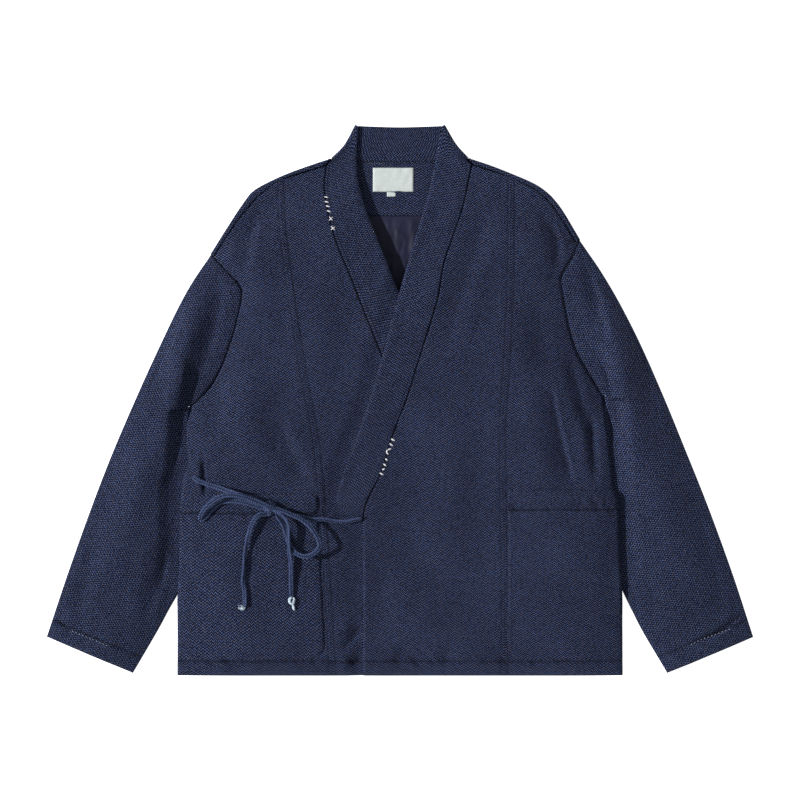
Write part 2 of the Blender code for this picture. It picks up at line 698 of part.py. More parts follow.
def collar():
    """Make the collar band: one doubled strip round the neck and down both fronts."""
    angles = [math.radians(90 - 180 * k / FOLD_STEPS) for k in range(FOLD_STEPS + 1)]
    way = [(LEFT, "front", item) for item in BAND_ROWS]
    way += [(LEFT, "fold", angle) for angle in angles]
    way += [(None, "back", k / COLLAR_BACK_STEPS) for k in range(1, COLLAR_BACK_STEPS)]
    way += [(RIGHT, "fold", angle) for angle in reversed(angles)]
    way += [(RIGHT, "front", item) for item in reversed(BAND_ROWS)]

    def front_place(side, item, part):
        _, y = band_seam_point(side, *item)
        band = BAND[side]
        seam = Vector((read(band, "seam_x", y), y))
        free = Vector((read(band, "free_x", y), read(band, "free_y", y)))
        toward = (free - seam).normalized()
        return (seam + toward * SEAM_GAP).lerp(free, part)

    def fold_frame(side, part):
        chart = NECK_FOLD[side]
        point = Vector((read(chart, "x", part), read(chart, "y", part)))
        along = Vector((read(chart, "x", 1) - read(chart, "x", 0),
                        read(chart, "y", 1) - read(chart, "y", 0))).normalized()
        return point, Vector((-along.y * side, along.x * side))

    def face(i, j, inset):
        side, kind, item = way[j]
        part = i / BAND_COLUMNS
        if kind == "front":
            plan = front_place(side, item, part)
            top = max(piece_height(side, *plan) + BAND_PROUD, 2 * NECK_FOLD_RADIUS)
            return Vector((*plan, top - inset))
        if kind == "fold":
            point, inward = fold_frame(side, part)
            radius = NECK_FOLD_RADIUS - inset
            plan = point + inward * (NECK_FOLD_RADIUS - radius * math.cos(item))
            return Vector((*plan, NECK_FOLD_RADIUS + radius * math.sin(item)))
        ends = [fold_frame(end, part) for end in (LEFT, RIGHT)]
        ends = [point + inward * NECK_FOLD_RADIUS for point, inward in ends]
        plan = ends[0].lerp(ends[1], item)
        top = mix(BACK_NECK_Y + SEAM_GAP, NECK_FOLD[LEFT]["y"][-1], part)
        sag = COLLAR_DIP * part * math.sin(math.pi * item)
        plan.y = mix(plan.y, top, math.sin(math.pi * item) ** 0.5) - sag
        return Vector((*plan, inset))

    cloth_wall("collar_band", BAND_COLUMNS, len(way) - 1, lambda i, j: face(i, j, 0.0),
               lambda i, j: face(i, j, DOUBLE))


def inside_back():
    """Make the neck facing, and the lining as far as the neck opening shows it."""
    facing_base = CLOTH + SEAM_GAP

    def facing_place(i, j):
        y = mix(FACING_END_Y + SEAM_GAP, BACK_NECK_Y - 2 * SEAM_GAP, j / 4)
        return mix(70, 76, j / 4) * (i / 4 - 1), y

    def lining_place(i, j):
        y = mix(LINING_END_Y, FACING_END_Y, j / 6)
        return mix(34, 62, j / 6) * (i / 3 - 1), y

    height_wall("neck_facing", 8, 4, facing_place, lambda x, y: facing_base + CLOTH, CLOTH)
    height_wall("back_lining", 6, 6, lining_place, lambda x, y: facing_base + LINING, LINING,
                INDIGO_DARK)


def labels():
    """Make the blank neck label and its tab, which lie on the facing."""
    base = 2 * CLOTH + 2 * SEAM_GAP
    for name, size in (("neck_label", LABEL), ("size_tab", TAB)):
        def place(i, j, size=size):
            return (size["x"] + size["width"] * (i / 2 - 0.5),
                    size["y"] + size["height"] * (j / 2 - 0.5))

        height_wall(name, 2, 2, place, lambda x, y: base + LABEL_WALL, LABEL_WALL, LABEL_WHITE)


POCKET_ROWS = 14
POCKET_COLUMNS = 9


def pocket(side):
    """Make a patch pocket, sewn down on three sides, with a doubled hem at its mouth."""
    size = POCKET[side]
    hem = size["top"] - POCKET_HEM
    levels = [mix(size["bottom"], hem, k / (POCKET_ROWS - 5)) for k in range(POCKET_ROWS - 4)]
    levels += [hem + 2.5, hem + 8, hem + 16, size["top"]]

    def place(i, j):
        y = levels[j]
        inner = mix(size["bottom_out"], size["top_out"],
                    (y - size["bottom"]) / (size["top"] - size["bottom"]))
        corner = max(0.0, 1 - (y - size["bottom"]) / POCKET_CORNER)
        inner += POCKET_CORNER * (1 - math.sqrt(max(0.0, 1 - corner * corner)))
        outer = side * body_edge(side, y) - 0.5
        return side * mix(inner, outer, i / POCKET_COLUMNS), y

    def height(x, y):
        seam = HEM_GROOVE if abs(y - hem) < 0.1 else 0.0
        return front_height(x, y) + pocket_gap(side, x, y) + CLOTH - seam

    def outer_face(i, j):
        x, y = place(i, j)
        return Vector((x, y, height(x, y)))

    def inner_face(i, j):
        x, y = place(i, j)
        return Vector((x, y, front_height(x, y) + pocket_gap(side, x, y)))

    cloth_wall(f"pocket_{SIDE_NAMES[side]}", POCKET_COLUMNS, POCKET_ROWS - 1, outer_face,
               inner_face)


def knot_centre():
    """Middle of the bow's knot."""
    height = rest_height(KNOT["x"], KNOT["y"]) + KNOT["half_height"] + TIE_CLEAR
    return Vector((KNOT["x"], KNOT["y"], height))


def outside_knot(point):
    """Tell whether a cord's middle is clear of the knot."""
    offset = point - knot_centre()
    scaled = Vector((offset.x / (KNOT["half_length"] + KNOT_MARGIN),
                     offset.y / (KNOT["half_width"] + KNOT_MARGIN),
                     offset.z / (KNOT["half_height"] + KNOT_MARGIN)))
    return scaled.length > 1.0


def smooth_route(rows, spacing):
    """Read evenly spaced points from a smooth curve through a route's points."""
    points = [Vector((x, y, rest_height(x, y) + TIE_RADIUS + TIE_CLEAR + raised))
              for x, y, raised in rows]
    ends = [points[0] * 2 - points[1]] + points + [points[-1] * 2 - points[-2]]
    fine = []
    for a, b, c, d in zip(ends, ends[1:], ends[2:], ends[3:]):
        for k in range(20):
            t = k / 20
            fine.append(0.5 * (2 * b + (c - a) * t + (2 * a - 5 * b + 4 * c - d) * t * t
                               + (3 * b - a - 3 * c + d) * t ** 3))
    fine.append(points[-1])
    fine = [point for point in fine if outside_knot(point)]
    total = sum((b - a).length for a, b in zip(fine, fine[1:]))
    step = total / max(2, round(total / spacing))
    picked, run = [fine[0]], 0.0
    for a, b in zip(fine, fine[1:]):
        run += (b - a).length
        if run >= step:
            picked.append(b)
            run -= step
    if (picked[-1] - fine[-1]).length > step * 0.3:
        picked.append(fine[-1])
    else:
        picked[-1] = fine[-1]
    return picked


def tie(name, rows):
    """Make one stretch of a tie, with a small knot at a free end."""
    points = smooth_route(rows, TIE_POINT_SPACING)
    floor = {tuple(point): rest_height(point.x, point.y) + TIE_RADIUS + TIE_CLEAR * 0.6
             for point in points}
    curve = bpy.data.curves.new(name, "CURVE")
    curve.dimensions = "3D"
    curve.bevel_depth = TIE_RADIUS * MM
    curve.bevel_resolution = 2
    curve.use_fill_caps = True
    spline = curve.splines.new("POLY")
    spline.points.add(len(points) - 1)
    for at, point in zip(spline.points, points):
        height = max(point.z, floor[tuple(point)])
        at.co = (point.x * MM, point.y * MM, height * MM, 1.0)
    if name.startswith("bow_end"):
        for at, point in zip(spline.points, points):
            away = (point - points[-1]).length / TIP_LENGTH
            swell = math.exp(-(2.2 * (away - 0.6)) ** 2)
            at.radius = mix(1.0, TIP_RADIUS / TIE_RADIUS, swell)
            at.co.z += (TIP_RADIUS - TIE_RADIUS) * swell * MM
    made = bpy.data.objects.new(name, curve)
    curve.materials.append(material(name, INDIGO, 0.95))
    bpy.context.scene.collection.objects.link(made)


def bow():
    """Make the ties and the knot that joins them."""
    for name, chart in ROUTES.items():
        tie(name, list(zip(*chart.values())))
    bm = bmesh.new()
    bmesh.ops.create_uvsphere(bm, u_segments=16, v_segments=10, radius=1.0)
    size = (KNOT["half_length"], KNOT["half_width"], KNOT["half_height"])
    bmesh.ops.scale(bm, vec=size, verts=bm.verts)
    bmesh.ops.translate(bm, vec=knot_centre(), verts=bm.verts)
    finish(bm, "bow_knot", INDIGO, 0.95)


def clear_scene():
    """Remove whatever the file holds before the jacket is made."""
    for item in list(bpy.data.objects):
        bpy.data.objects.remove(item, do_unlink=True)


def main():
    """Make every piece of the jacket."""
    clear_scene()
    back()
    inside_back()
    labels()
    fronts()
    for side in (LEFT, RIGHT):
        sleeve(side)
        pocket(side)
    collar()
    bow()


main()
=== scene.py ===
"""Looks of a short padded wrap jacket, laid flat on its back with its front up.

Every cloth piece is a thin shell on the form of its solid, with its creases, puckers,
stitched lines and weave. Lengths are in millimetres until a mesh is made. The surface that
the jacket lies on is z = 0, the neck points to +Y, and LEFT and RIGHT are the sides that a
viewer from above sees. A table column called out is a distance from the middle line.
"""
import math

import bmesh
import bpy
import numpy as np
from mathutils import Matrix, Vector
from mathutils.bvhtree import BVHTree


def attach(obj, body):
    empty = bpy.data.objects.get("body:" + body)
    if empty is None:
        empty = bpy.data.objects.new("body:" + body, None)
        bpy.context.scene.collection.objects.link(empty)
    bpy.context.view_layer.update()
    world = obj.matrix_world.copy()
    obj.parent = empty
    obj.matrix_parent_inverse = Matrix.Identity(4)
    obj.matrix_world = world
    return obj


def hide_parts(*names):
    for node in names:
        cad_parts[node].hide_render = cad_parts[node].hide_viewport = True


bl_info = {
    "name": "Padded wrap jacket",
    "version": (1, 0, 0),
    "blender": (4, 5, 0),
    "location": "3D View > Sidebar > Jacket",
    "description": "Builds the cloth, seams, ties and studio of a wrap jacket laid flat",
    "category": "Add Mesh",
}

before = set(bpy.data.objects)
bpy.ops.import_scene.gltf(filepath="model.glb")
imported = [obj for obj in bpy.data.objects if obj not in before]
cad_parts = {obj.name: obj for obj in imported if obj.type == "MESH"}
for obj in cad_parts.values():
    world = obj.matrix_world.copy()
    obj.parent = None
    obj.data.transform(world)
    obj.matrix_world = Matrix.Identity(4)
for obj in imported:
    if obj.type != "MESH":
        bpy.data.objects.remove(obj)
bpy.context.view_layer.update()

MM = 0.001
LEFT, RIGHT = -1, 1
SIDES = (LEFT, RIGHT)
WORD = {LEFT: "left", RIGHT: "right"}

# Radius of the flat fold along a shoulder or a sleeve, and of the one beside the neck
FOLD_RADIUS = 3.5
NECK_FOLD_RADIUS = 4.6
SIDE_SEAM_GAP = 0.8
CLOTH = 2.0

# Levels along the body, from the hem up
HEM_Y = -366.0
HEM_STITCH_Y = -346.5
BAND_END_Y = -155.0
BACK_NECK_Y = 317.0
FACING_END_Y = 244.5
LINING_END_Y = 118.0
FRONT_EDGE_OUT = 48.5

# How far the left front and the left part of the band lie under the right ones
WRAP_DROP = 5.0
WRAP_RAMP = 24.0
COVER_END_Y = -190.0
BAND_PROUD = 0.6

# How far the doming of the front reaches in from a side and down from the shoulder
SIDE_REACH = 95.0
TOP_REACH = 75.0
DOME_POWER = 2.2
ARMPIT_HEIGHT = 7.0


def table(names, *rows):
    """Keep short rows of numbers under the names of their columns."""
    return dict(zip(names.split(), zip(*rows)))


def read(chart, column, at):
    """Read a column at values of the chart's first column, along a smooth curve."""
    keys = np.array(next(iter(chart.values())), float)
    values = np.array(chart[column], float)
    at = np.clip(np.asarray(at, float), keys[0], keys[-1])
    steps = np.diff(keys)
    slopes = np.diff(values) / steps
    before, after = slopes[:-1], slopes[1:]
    total = np.where(before * after > 0, before + after, 1.0)
    inner = np.where(before * after > 0, 2 * before * after / total, 0.0)
    tangents = np.concatenate(([slopes[0]], inner, [slopes[-1]]))
    low = np.clip(np.searchsorted(keys, at, side="right") - 1, 0, len(keys) - 2)
    part = (at - keys[low]) / steps[low]
    square, cube = part ** 2, part ** 3
    return (values[low] * (2 * cube - 3 * square + 1)
            + tangents[low] * steps[low] * (cube - 2 * square + part)
            + values[low + 1] * (3 * square - 2 * cube)
            + tangents[low + 1] * steps[low] * (cube - square))


# Side seams, from the hem to the armpit
SIDE_SEAM = {
    LEFT: table("y out", (-366, 296), (-272, 295.5), (-206, 292.5), (-154, 292), (-106, 288),
                (-85, 281.5), (-9, 278)),
    RIGHT: table("y out", (-366, 296), (-272, 295.5), (-206, 292), (-133, 289.5), (-117, 284),
                 (-85, 280), (5, 270)),
}
# Armhole seams, from the armpit to the shoulder's outline, and their height above the floor
ARMHOLE = {
    LEFT: table("y out height", (-9, 278, 7), (15, 252.5, 8.5), (49, 234, 10), (114, 214, 12),
                (144, 209, 14), (173, 231, 12), (194, 252, 7)),
    RIGHT: table("y out height", (5, 270, 7), (38, 249, 8.5), (77, 230, 9), (133, 218, 10),
                 (160, 214, 12), (191, 230, 11), (213, 239.5, 7)),
}
# Outline of the shoulder, from the neck to the armhole
SHOULDER = {
    LEFT: table("out y", (92, 321), (106, 316.5), (152, 300), (182, 286), (197, 276.5),
                (207.5, 263), (252, 194)),
    RIGHT: table("out y", (91, 321.5), (117, 313), (148, 301), (181.5, 286), (198, 274),
                 (212, 258), (239.5, 213)),
}
# Seam in front of the shoulder's outline, where the front pieces start
SHOULDER_SEAM = {
    LEFT: table("out y", (99, 311), (130, 302), (158, 292), (182, 275.5), (209, 246),
                (227, 222), (246.5, 191)),
    RIGHT: table("out y", (98, 312), (118, 306), (148, 295), (177, 281.5), (193, 269),
                 (206, 254), (234.5, 209)),
}
# Long seam down each front, from the hem to the shoulder seam
PRINCESS = {
    LEFT: table("y out", (-366, 89), (-195, 98.5), (-69, 109), (45, 129), (156, 146),
                (254, 157), (292, 158)),
    RIGHT: table("y out", (-366, 139), (-246, 138.5), (-53, 135.5), (66, 142), (162, 146.5),
                 (295, 148)),
}
# Collar band in front: its seam to the front, and its free edge, in the same rows. On each
# side the x columns are plain positions, because both ends cross the middle line.
BAND = {
    LEFT: table("seam_y seam_x free_y free_x",
                (-155, 48.5, -145, 72), (-125, 40, -93, 73), (-65, 21, -27, 58.5),
                (14.5, -6.5, 57, 30.5), (60, -24, 104, 14), (119.5, -48, 158.5, -8),
                (163.5, -65, 191.5, -21), (203.5, -82, 227, -35), (246, -94.5, 267, -49.5),
                (285, -100, 302, -56.5), (311, -97, 328, -57.5)),
    RIGHT: table("seam_y seam_x free_y free_x",
                 (-155, -49, -147, -72), (-138, -45, -134, -84), (-94.5, -24, -101, -76.5),
                 (-46.5, -9.5, -52, -58), (2.5, 9.5, 0, -40.5), (56, 26, 54.5, -24.5),
                 (100, 40, 105, -11.5), (135.5, 50.5, 147.5, 0.5), (175.5, 57, 189.5, 12.5),
                 (213, 69, 231.5, 25), (252.5, 82.5, 273, 37.5), (284.5, 90, 303, 44),
                 (312, 95, 330, 49.5)),
}
# The neck folds of the band run from beside the neck to the collar's top corner
NECK_FOLD = {
    LEFT: table("part x y", (0, -91.5, 321.5), (0.5, -75, 338), (1, -59.5, 366)),
    RIGHT: table("part x y", (0, 91.0, 322), (0.5, 75.5, 339), (1, 59.5, 366)),
}
COLLAR_DIP = 3.5

# Both edges of each sleeve, from the armhole to the cuff, and the height of its dome
SLEEVE = {
    LEFT: table("part outer_out outer_y inner_out inner_y height",
                (0.0, 252, 194, 279, -9.4, 15), (0.1, 281, 149, 279.8, -16, 19),
                (0.25, 321, 68, 280.8, -40, 22), (0.4, 355, -7, 273, -93, 22),
                (0.55, 386, -80, 275, -150, 21), (0.7, 415, -156, 283, -226, 19),
                (0.85, 443, -235, 312, -288, 17), (1.0, 469.5, -314.5, 355, -363, 12)),
    RIGHT: table("part outer_out outer_y inner_out inner_y height",
                 (0.0, 239.5, 213, 271, 5, 15), (0.1, 270, 167, 273, -5, 19),
                 (0.25, 311, 92, 276, -28, 22), (0.4, 348, 10, 269, -85, 22),
                 (0.55, 380, -68, 272, -142, 21), (0.7, 408, -138, 282, -215, 19),
                 (0.85, 443, -234, 312, -288, 17), (1.0, 469.5, -315, 355, -363, 12)),
}
CUFF_STITCH_PART = 0.957
TUCK_MARGIN = 6.0
TUCK_RAMP = 26.0
TUCK_FLAT = 20.0
TUCK_REACH = 56.0

# Height of the domed front over the floor, up the middle of the body
DOME = table("y height", (-366, 11), (-345, 16), (-250, 23), (-100, 26), (50, 26),
             (150, 24), (230, 19), (290, 13), (366, 8))
# Height of the back's underside at the side seam, over the sleeve tucked below it
TUCK = table("y lift", (-310, 0), (-257, 8.4), (-62, 8.4), (-9, 0))

# Patch pockets: top and bottom level, inner edge at both, and how far the top stands open
POCKET = {
    LEFT: {"top": -125.0, "bottom": -343.5, "top_out": 109.5, "bottom_out": 98.5},
    RIGHT: {"top": -120.0, "bottom": -343.5, "top_out": 142.5, "bottom_out": 141.5},
}
POCKET_OPEN = 5.5
POCKET_LIFT = 0.8
POCKET_HEM = 25.0
POCKET_CORNER = 22.0

LABEL = {"x": -9.0, "y": 292.6, "width": 54.0, "height": 32.0, "base": 4.6}
TAB = {"x": -11.3, "y": 273.2, "width": 12.0, "height": 6.0, "base": 4.6}

# Ties: cloth cords that run from the side seam and the front edge to one bow. A row of a
# route is a place and how far the cord is held up over the cloth.
TIE_RADIUS = 2.5
TIE_CLEAR = 0.35
KNOT = {"x": -168.0, "y": -144.0, "half_length": 11.5, "half_width": 7.5, "half_height": 6.5}
ROUTES = {
    "tie_side_run": table("x y raise", (-275, -102, 0), (-264, -108, 0), (-238, -116.5, 1),
                          (-217, -123, 1.5), (-197, -129, 1.5), (-170, -142, 1.5)),
    "tie_front_run": table("x y raise", (-49.6, -156.5, 0), (-58, -158, 0), (-70, -160.5, 0),
                           (-85, -160, 0), (-101, -157.5, 0), (-115, -157.5, 0.5),
                           (-131, -154, 1), (-166, -145, 3)),
    "bow_loop_left": table("x y raise", (-170, -141, 9.5), (-190, -133, 10), (-205, -128, 11),
                           (-223, -125, 13), (-238, -128, 14), (-251, -137, 13),
                           (-261, -149, 9), (-263, -157, 4), (-258, -156, 1.5),
                           (-249, -145, 1), (-237, -136, 0.5), (-220, -133, 0.5),
                           (-200, -136.5, 0.5), (-170, -146, 2)),
    "bow_loop_right": table("x y raise", (-166, -144, 8), (-154, -146, 9), (-143, -151, 10),
                            (-130, -157, 11), (-116, -169, 13), (-107, -184, 14),
                            (-106, -193, 14), (-112, -201, 12), (-124, -206, 9),
                            (-135, -203, 6), (-143, -195, 3), (-149, -181, 1),
                            (-154, -165, 0.5), (-166, -146, 1)),
    "bow_end_left": table("x y raise", (-168, -144, 3), (-176, -150, 3), (-186, -151.5, 4.5),
                          (-194, -162, 5), (-199, -177, 4), (-202, -190, 3), (-205, -207, 2),
                          (-206, -223, 1), (-207, -239, 0.5), (-205, -255, 0), (-205, -274, 0)),
    "bow_end_right": table("x y raise", (-166, -144, 5), (-158, -150, 6.5), (-151, -157, 8.5),
                           (-147, -167, 9.5), (-147, -183, 8.5), (-146, -200, 6), (-144, -216, 4),
                           (-143.5, -233, 2), (-143.5, -249, 0.8), (-143, -268, 0)),
}

# Folds that lie in the cloth: a soft trough from a start through a bend to an end. Its left
# and right flanks fall off over their own widths, so that one is steeper. A negative depth
# is a ridge, and dark is how deep the shade painted into the colour at the bottom is. The
# first three rows are the largest, and the solids have them as well.
FOLDS = table(
    "x1 y1 x2 y2 x3 y3 left_width right_width depth dark",
    (197, 30, 211, -52, 232, -124, 17, 3.2, 6.2, 0.35),
    (-262, -72, -259.5, -96, -258, -132, 3.4, 2.4, 5.5, 0.9),
    (126, 275, 92, 200, 52, 50, 19, 13, 4.2, 0.10),
    (-192, 268, -199, 225, -210, 160, 13, 7, 3.6, 0.15),
    (-166, -20, -145, -75, -122, -122, 17, 9, 4.4, 0.15),
    (-160, 190, -152, 120, -150, 55, 15, 7, 2.2, 0.05),
    (-205, 120, -214, 20, -206, -80, 24, 20, -3.0, 0),
    (-150, 60, -160, -20, -176, -100, 20, 18, 2.4, 0.05),
    (196, 272, 207, 218, 216, 158, 11, 5, 4.4, 0.2),
    (222, 66, 236, 20, 247, -34, 9, 6, 3.0, 0.15),
    (254, -8, 257, -60, 260, -118, 7, 4, 3.4, 0.25),
    (226, 10, 240, -50, 252, -112, 11, 9, -2.4, 0),
    (-272, -9, -262, -16, -250, -22, 4, 3, 1.4, 0.3),
    (-100, 160, -112, 60, -104, -30, 22, 22, -1.8, 0),
    (10, -40, 22, -140, 8, -260, 34, 30, 2.2, 0.05),
    (70, 20, 86, -90, 66, -230, 30, 26, -2.2, 0),
    (110, -60, 100, -170, 116, -300, 22, 20, 1.6, 0.03),
    (-20, -190, -30, -260, -24, -330, 16, 14, 1.7, 0.05),
    (-70, -180, -64, -240, -74, -320, 13, 11, 1.9, 0.05),
    (-50, -296, -62, -314, -80, -332, 9, 6, 3.6, 0.5),
    (-46, -334, -58, -345, -70, -360, 8, 6, 2.2, 0.3),
    (6, -322, 0, -338, -8, -356, 8, 6, 2.2, 0.2),
    (68, -318, 62, -338, 54, -360, 8, 6, 2.2, 0.2),
    (170, 160, 182, 90, 200, 20, 17, 12, 2.0, 0.05),
    (-236, 40, -242, -10, -248, -60, 12, 8, 2.3, 0.1),
)
# Folds in the top of each sleeve, in the same columns
SLEEVE_FOLDS = {
    LEFT: table("x1 y1 x2 y2 x3 y3 left_width right_width depth dark",
                (-232, 176, -240, 120, -262, 40, 13, 7, 3.6, 0.1),
                (-262, 150, -285, 80, -292, -10, 22, 16, -3.0, 0),
                (-250, 70, -272, 20, -290, -50, 12, 7, 3.4, 0.1),
                (-300, 80, -330, 0, -345, -90, 20, 15, 2.2, 0.05),
                (-280, -40, -312, -90, -330, -170, 14, 11, 2.6, 0.05),
                (-330, -60, -362, -150, -372, -250, 24, 20, -2.4, 0),
                (-292, -190, -322, -232, -342, -292, 16, 9, 3.8, 0.2),
                (-340, -180, -366, -240, -380, -312, 16, 13, 2.0, 0.05),
                (-404, -180, -420, -240, -432, -300, 14, 11, 1.9, 0.05),
                (-462, -284, -452, -298, -436, -308, 3.5, 4, 1.6, 0.45)),
    RIGHT: table("x1 y1 x2 y2 x3 y3 left_width right_width depth dark",
                 (243, 204, 256, 145, 275, 62, 10, 6, 4.0, 0.15),
                 (272, 150, 292, 80, 300, 0, 16, 20, -2.8, 0),
                 (262, 60, 280, 10, 296, -50, 9, 11, 3.0, 0.1),
                 (312, 60, 334, -10, 350, -90, 15, 17, 2.3, 0.05),
                 (290, -60, 316, -120, 330, -190, 12, 13, 2.3, 0.05),
                 (332, -60, 362, -150, 376, -250, 20, 24, -2.4, 0),
                 (300, -190, 326, -232, 350, -300, 12, 15, 2.4, 0.05),
                 (396, -150, 412, -210, 430, -290, 12, 13, 1.9, 0.05),
                 (459, -274, 442, -302, 384, -324, 4.5, 3.5, 2.6, 0.6)),
}


def mix(start, end, part):
    """Blend two numbers."""
    return start + (end - start) * part


def ease(value):
    """Rise smoothly from 0 to 1 as value goes from 0 to 1."""
    value = np.clip(value, 0.0, 1.0)
    return value * value * (3 - 2 * value)


def bell(distance, width):
    """Fall smoothly from 1 at no distance to almost 0 at twice the width."""
    return np.exp(-(distance / width) ** 2)


def waviness(x, y, length, seed):
    """Uneven swells between about -1 and 1, of a typical length in millimetres."""
    chance = np.random.default_rng(seed)
    total = np.zeros(np.broadcast(x, y).shape)
    count = 9
    for _ in range(count):
        turn = chance.uniform(0, math.tau)
        pull = math.tau / (length * chance.uniform(0.7, 1.7))
        shift = chance.uniform(0, math.tau)
        total += np.cos(pull * (x * math.cos(turn) + y * math.sin(turn)) + shift)
    return total / math.sqrt(count)


def armpit_y(side):
    """Level of the armpit."""
    return ARMHOLE[side]["y"][0]


def armhole_top_y(side):
    """Level where the armhole seam meets the shoulder's outline."""
    return ARMHOLE[side]["y"][-1]


def body_edge(side, y):
    """Signed position of the body's outline at levels: side seam, armhole, shoulder, neck."""
    y = np.asarray(y, float)
    top = armhole_top_y(side)
    neck = NECK_FOLD[side]
    shoulder = mix(SHOULDER[side]["out"][-1], SHOULDER[side]["out"][0],
                   (y - top) / (SHOULDER[side]["y"][0] - top))
    above = read(neck, "x", (y - neck["y"][0]) / (neck["y"][-1] - neck["y"][0]))
    return np.select([y <= armpit_y(side), y <= top, y <= SHOULDER[side]["y"][0]],
                     [side * read(SIDE_SEAM[side], "out", y),
                      side * read(ARMHOLE[side], "out", y), side * shoulder], above)


def top_edge(x):
    """Level of the outline over places: the shoulder, the neck fold or the collar's top."""
    x = np.asarray(x, float)
    levels = {}
    for side in SIDES:
        shoulder = SHOULDER[side]
        corner = NECK_FOLD[side]["y"][-1]
        span = shoulder["out"][0] - abs(NECK_FOLD[side]["x"][-1])
        over = mix(shoulder["y"][0], corner,
                   np.minimum(1.0, (shoulder["out"][0] - np.abs(x)) / span))
        levels[side] = np.where(np.abs(x) >= shoulder["out"][0],
                                read(shoulder, "y", np.abs(x)), over)
    return np.where(x < 0, levels[LEFT], levels[RIGHT])


def tuck_lift(side, y):
    """Height of the back's underside at a side seam."""
    return read(TUCK, "lift", np.minimum(y, armpit_y(LEFT) + (y - armpit_y(side))))


def edge_height(side, y):
    """Height of the front's upper face at the body's edge."""
    seam = tuck_lift(side, y) + 2 * CLOTH + SIDE_SEAM_GAP
    low = np.maximum(seam, mix(ARMPIT_HEIGHT, 0.0, (armpit_y(side) - y) / 40))
    return np.select([y > armhole_top_y(side), y > armpit_y(side)],
                     [np.full(np.shape(y), 2 * FOLD_RADIUS), read(ARMHOLE[side], "height", y)],
                     low)


def trough(fold, x, y):
    """Depth and painted shade of one fold at places."""
    steps = np.linspace(0, 1, 15)[:, None]
    a, b, c = (np.array([fold[f"x{k}"], fold[f"y{k}"]]) for k in (1, 2, 3))
    line = a * (1 - steps) ** 2 + b * 2 * steps * (1 - steps) + c * steps ** 2
    distance, along, total = near(line, x, y)
    width = np.where(distance < 0, fold["left_width"], fold["right_width"])
    share = along / total
    ends = ease(share / 0.3) * ease((1 - share) / 0.3)
    centre = bell(distance, width)
    shoulders = 0.22 * bell(np.abs(distance) - 2.0 * width, 0.8 * width)
    shade = fold["dark"] * ends * bell(distance, 0.55 * width)
    return fold["depth"] * ends * (centre - shoulders), shade


def near(line, x, y):
    """Signed distance from a line of points, negative to its -X side, and length along it."""
    x, y = np.asarray(x, float), np.asarray(y, float)
    best = np.full(x.shape, 1e9)
    side = np.ones(x.shape)
    along = np.zeros(x.shape)
    run = 0.0
    for a, b in zip(line, line[1:]):
        way = b - a
        length = math.hypot(*way)
        way = way / length
        part = np.clip((x - a[0]) * way[0] + (y - a[1]) * way[1], 0, length)
        off_x, off_y = x - a[0] - way[0] * part, y - a[1] - way[1] * part
        distance = np.hypot(off_x, off_y)
        closer = distance < best
        best = np.where(closer, distance, best)
        turn = 1.0 if way[1] > 0 else -1.0
        side = np.where(closer, np.where((off_x * way[1] - off_y * way[0]) * turn < 0, -1.0, 1.0), side)
        along = np.where(closer, run + part, along)
        run += length
    return best * side, along, run


def folds_at(chart, x, y):
    """Depth and painted shade of all of a table's folds at places."""
    depth, shade = np.zeros(np.broadcast(x, y).shape), np.zeros(np.broadcast(x, y).shape)
    reach = 60.0
    for row in zip(*chart.values()):
        fold = dict(zip(chart, row))
        low_x, high_x = (pick(fold["x1"], fold["x2"], fold["x3"]) for pick in (min, max))
        low_y, high_y = (pick(fold["y1"], fold["y2"], fold["y3"]) for pick in (min, max))
        close = ((x > low_x - reach) & (x < high_x + reach)
                 & (y > low_y - reach) & (y < high_y + reach))
        if close.any():
            deeper, darker = trough(fold, x[close], y[close])
            depth[close] += deeper
            shade[close] += darker
    return depth, shade


def front_height(x, y):
    """Height of the front's upper face over the floor, with its folds, without the wrap."""
    x, y = np.broadcast_arrays(np.asarray(x, float), np.asarray(y, float))
    left, right = body_edge(LEFT, y), body_edge(RIGHT, y)
    across = np.clip((x - left) / (right - left), 0, 1)
    edge = mix(edge_height(LEFT, y), edge_height(RIGHT, y), across)
    full = read(DOME, "height", y)
    inside = np.minimum(x - left, right - x)
    below = top_edge(x) - y
    dome = 1.0
    for distance, reach in ((inside, SIDE_REACH), (below, TOP_REACH)):
        dome = dome * (1 - (1 - np.clip(distance / reach, 0, 1)) ** DOME_POWER)
    window = ease(inside / 22) * ease(below / 18) * ease((y - HEM_Y) / 8)
    relief = waviness(x, y, 90, 3) * 0.8 + waviness(x, y, 34, 5) * 0.32 - folds_at(FOLDS, x, y)[0]
    return edge + np.maximum(0.0, full - edge) * dome + relief * window


def cover_edge(y):
    """Position of the right side's free edge, which covers the left front below the neck."""
    band = BAND[RIGHT]
    widest = band["free_x"].index(min(band["free_x"]))
    low_y, low_x = band["free_y"][widest], band["free_x"][widest]
    below = mix(low_x, -FRONT_EDGE_OUT, ease((low_y - y) / (low_y - COVER_END_Y)))
    keyed = {"free_y": band["free_y"][widest:], "free_x": band["free_x"][widest:]}
    return np.where(y < low_y, below, read(keyed, "free_x", y))


def piece_height(side, x, y):
    """Height of the upper face of a front piece, which dips under the right side's."""
    height = front_height(x, y)
    if side == RIGHT:
        return height
    return height - WRAP_DROP * ease((x - cover_edge(y)) / WRAP_RAMP + 1.15)


